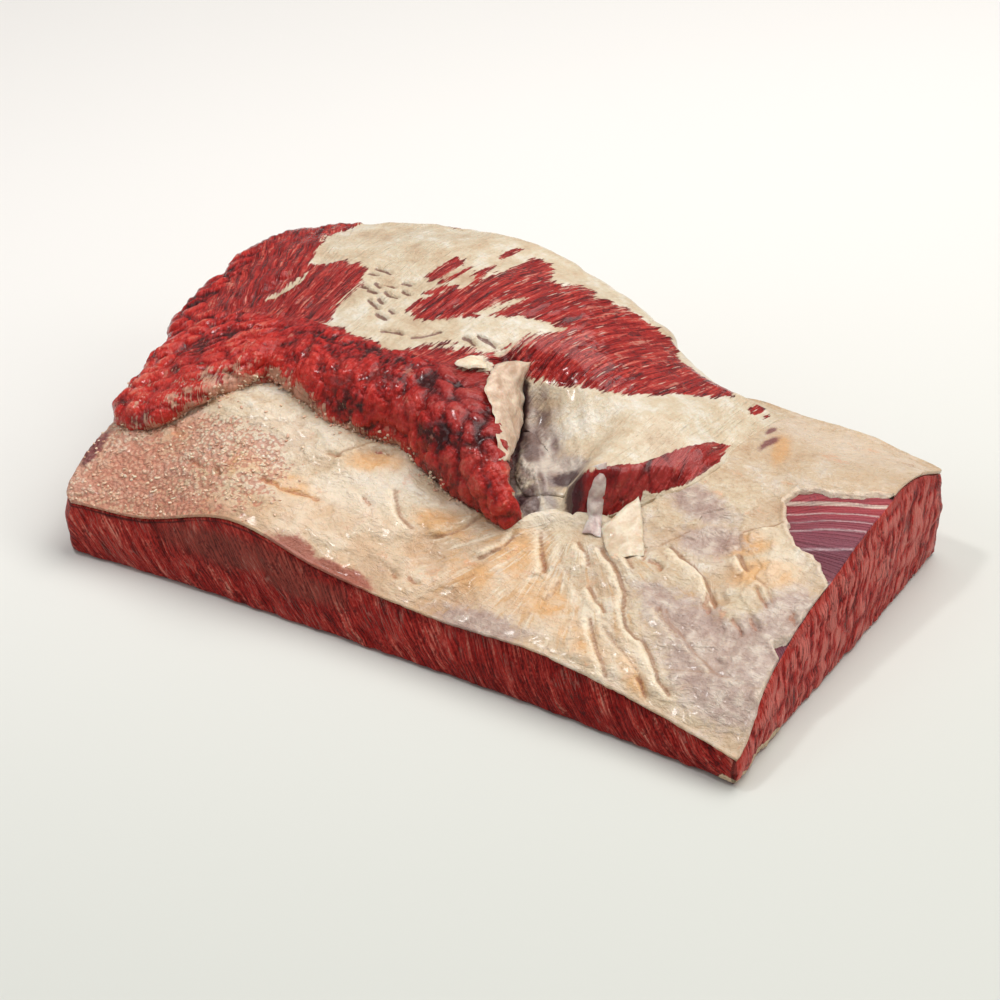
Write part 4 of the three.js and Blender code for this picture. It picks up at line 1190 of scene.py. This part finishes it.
mound.data.materials.append(mound_material())
cover.data.materials.append(cover_material())
slab.data.materials.append(slab_material())
torn_flap.data.materials.append(membrane_material("torn_connective_tissue", "#bfa189", "#e3cdb6"))
fat_tag.data.materials.append(membrane_material("tag_of_fat", "#d9c3a3", "#efe2cc"))
corner_flap.data.materials.append(membrane_material("loose_corner_of_fat", "#cdb69a", "#e6d8c2"))
strand.data.materials.append(membrane_material("strand_of_membrane", "#b39994", "#d8cbc2"))
print("materials:", [m.name for m in bpy.data.materials])

# %% [markdown]
# ## Crumbs of fat
#
# Where the muscle was pulled off the fat, small crumbs stay on both. Geometry Nodes scatter them: a stored
# `crumbs` attribute says how thickly, and each one is the same dented ball, turned and squashed by chance.

# %% The crumb tree
def crumb_tree(material):
    tree = bpy.data.node_groups.new("crumbs_of_fat", "GeometryNodeTree")
    for name, kind in (("Meat", "NodeSocketObject"), ("Size", "NodeSocketFloat"), ("Per square metre", "NodeSocketFloat"), ("Seed", "NodeSocketInt")):
        tree.interface.new_socket(name, in_out="INPUT", socket_type=kind)
    tree.interface.new_socket("Geometry", in_out="OUTPUT", socket_type="NodeSocketGeometry")
    given = add(tree, "NodeGroupInput").outputs
    meat = add(tree, "GeometryNodeObjectInfo", {"Object": given["Meat"]}).outputs["Geometry"]
    share = add(tree, "GeometryNodeInputNamedAttribute", {"Name": "crumbs"}, data_type="FLOAT").outputs["Attribute"]
    density = add(tree, "ShaderNodeMath", {0: share, 1: given["Per square metre"]}, operation="MULTIPLY").outputs[0]
    points = add(tree, "GeometryNodeDistributePointsOnFaces", {"Mesh": meat, "Density": density, "Seed": given["Seed"]})
    ball = add(tree, "GeometryNodeMeshUVSphere", {"Segments": 8, "Rings": 5, "Radius": 1.0}).outputs["Mesh"]
    dents = add(tree, "ShaderNodeTexNoise", {"Scale": 1.1, "Detail": 2.0}).outputs["Color"]
    dents = add(tree, "ShaderNodeVectorMath", {0: dents, 1: (-0.5, -0.5, -0.5)}, operation="ADD").outputs[0]
    ball = add(tree, "GeometryNodeSetPosition", {"Geometry": ball, "Offset": dents}).outputs[0]
    low, high = (0.5, 0.5, 0.3), (1.7, 1.1, 0.8)
    squash = add(tree, "FunctionNodeRandomValue", {0: low, 1: high, "Seed": given["Seed"]}, data_type="FLOAT_VECTOR").outputs[0]
    squash = add(tree, "ShaderNodeVectorMath", {0: squash, "Scale": given["Size"]}, operation="SCALE").outputs[0]
    turn = add(tree, "FunctionNodeRandomValue", {0: (0, 0, 0), 1: (0.5, 0.5, 6.28)}, data_type="FLOAT_VECTOR").outputs[0]
    placed = {"Points": points.outputs["Points"], "Instance": ball, "Rotation": turn, "Scale": squash}
    crumbs = add(tree, "GeometryNodeInstanceOnPoints", placed).outputs[0]
    crumbs = add(tree, "GeometryNodeRealizeInstances", {0: crumbs}).outputs[0]
    crumbs = add(tree, "GeometryNodeSetShadeSmooth", {0: crumbs}).outputs[0]
    crumbs = add(tree, "GeometryNodeSetMaterial", {"Geometry": crumbs, "Material": material}).outputs[0]
    add(tree, "NodeGroupOutput", {"Geometry": crumbs})
    return tree


def scattered(name, tree, values):
    """The tree's result on a new object, turned to a plain mesh."""
    seed_object = bpy.data.objects.new(name + "_source", bpy.data.meshes.new(name + "_source"))
    bpy.context.scene.collection.objects.link(seed_object)
    modifier = seed_object.modifiers.new("crumbs", "NODES")
    modifier.node_group = tree
    for item in tree.interface.items_tree:
        if item.in_out == "INPUT":
            modifier[item.identifier] = values[item.name]
    bpy.context.view_layer.update()
    evaluated = seed_object.evaluated_get(bpy.context.evaluated_depsgraph_get())
    mesh = bpy.data.meshes.new_from_object(evaluated)
    seed_object.modifiers.remove(modifier)
    bpy.data.objects.remove(seed_object)
    piece = bpy.data.objects.new(name, mesh)
    bpy.context.scene.collection.objects.link(piece)
    print(f"{name}: {len(mesh.polygons)} faces")
    return piece


tree = crumb_tree(membrane_material("crumbs_of_soft_fat", "#cb927a", "#ead3b8"))
settings = {"Size": 1.1 * MM, "Per square metre": 5.0e5, "Seed": 4}
cover_crumbs = scattered("crumbs_on_the_fat", tree, {"Meat": cover, **settings})
mound_crumbs = scattered("crumbs_on_the_lean", tree, {"Meat": mound, **settings, "Seed": 9})

# %% [markdown]
# ## Floor, light and camera
#
# The cut lies on a pale bench under one broad soft light from the right, with a weak fill from the left. The
# camera's distance, angle and lens were fitted to the photograph.

# %% Floor, lights and camera
def floor_piece():
    material, tree, shader = tissue("pale_board_painted_falloff", 0.6, 0.0, 0.0, 1.0)
    place = add(tree, "ShaderNodeTexCoord").outputs["Object"]
    # painted fall-off of light: the board is darker towards the camera and lighter away from it
    away = add(tree, "ShaderNodeVectorMath", {0: place, 1: (-0.815, 0.677, 0.0)}, operation="DOT_PRODUCT").outputs["Value"]
    value = add(tree, "ShaderNodeMapRange", {"Value": away, "From Min": -0.4, "From Max": 0.6}, interpolation_type="SMOOTHSTEP")
    tree.links.new(ramp(tree, value.outputs[0], (0.0, "#d0d2cc"), (1.0, "#e9e7e4")), shader.inputs["Base Color"])
    mesh = bpy.data.meshes.new("floor")
    reach = 4.0
    mesh.from_pydata([(-reach, -reach, 0), (reach, -reach, 0), (reach, reach, 0), (-reach, reach, 0)], [], [(0, 1, 2, 3)])
    mesh.materials.append(material)
    piece = bpy.data.objects.new("floor", mesh)
    bpy.context.scene.collection.objects.link(piece)
    return piece


def soft_light(name, place, aim, size, watts, shade):
    data = bpy.data.lights.new(name, "AREA")
    data.shape, data.size, data.energy, data.color = "SQUARE", size, watts, linear(shade)[:3]
    lamp = bpy.data.objects.new(name, data)
    bpy.context.scene.collection.objects.link(lamp)
    lamp.location = place
    lamp.rotation_euler = (Vector(aim) - Vector(place)).to_track_quat("-Z", "Y").to_euler()


floor_piece()
soft_light("top_light", (0.3, 0.65, 1.8), (0, 0.05, 0), 1.5, 31, "#fffdfa")
soft_light("broad_light_right", (2.2, 0.5, 1.7), (0, 0, 0), 1.2, 14, "#fffaf4")
soft_light("fill_left", (-1.0, -1.7, 1.4), (0, 0, 0), 1.2, 7, "#f8f9ff")
soft_light("glint_light", (-0.45, -0.3, 1.5), (-0.05, 0, 0), 0.16, 5.5, "#ffffff")
world = bpy.data.worlds.new("pale_room")
world.use_nodes = True
world.node_tree.nodes["Background"].inputs["Color"].default_value = linear("#f6f4f2")
world.node_tree.nodes["Background"].inputs["Strength"].default_value = 0.34
bpy.context.scene.world = world
bpy.context.scene.view_settings.view_transform = "Standard"

AZIMUTH, ELEVATION, DISTANCE, LENS_MM = math.radians(30.98), math.radians(32.22), 1.75, 108.0
target = Vector((-0.0153, 0.0304, 0.0))
level = math.cos(ELEVATION)
eye = target + DISTANCE * Vector((math.sin(AZIMUTH) * level, -math.cos(AZIMUTH) * level, math.sin(ELEVATION)))
lens = bpy.data.cameras.new("photo_camera")
lens.lens, lens.sensor_width = LENS_MM, 36.0
camera = bpy.data.objects.new("photo_camera", lens)
camera.location = eye
camera.rotation_euler = (target - eye).to_track_quat("-Z", "Y").to_euler()
bpy.context.scene.collection.objects.link(camera)
bpy.context.scene.camera = camera

# %% [markdown]
# ## The pieces on the body
#
# Every piece rides on the one body, and each dressed muscle takes the place of its solid.

# %% Ride and replace
STANDS_FOR = {
    "flat_muscle": (slab, "lean"),
    "fat_layer": (cover, "fat"),
    "point_muscle": (mound, "lean"),
}
for node, (piece, finish) in STANDS_FOR.items():
    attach(piece, "root")
    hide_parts(node)
for piece in (torn_flap, fat_tag, corner_flap, strand, cover_crumbs, mound_crumbs):
    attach(piece, "root")
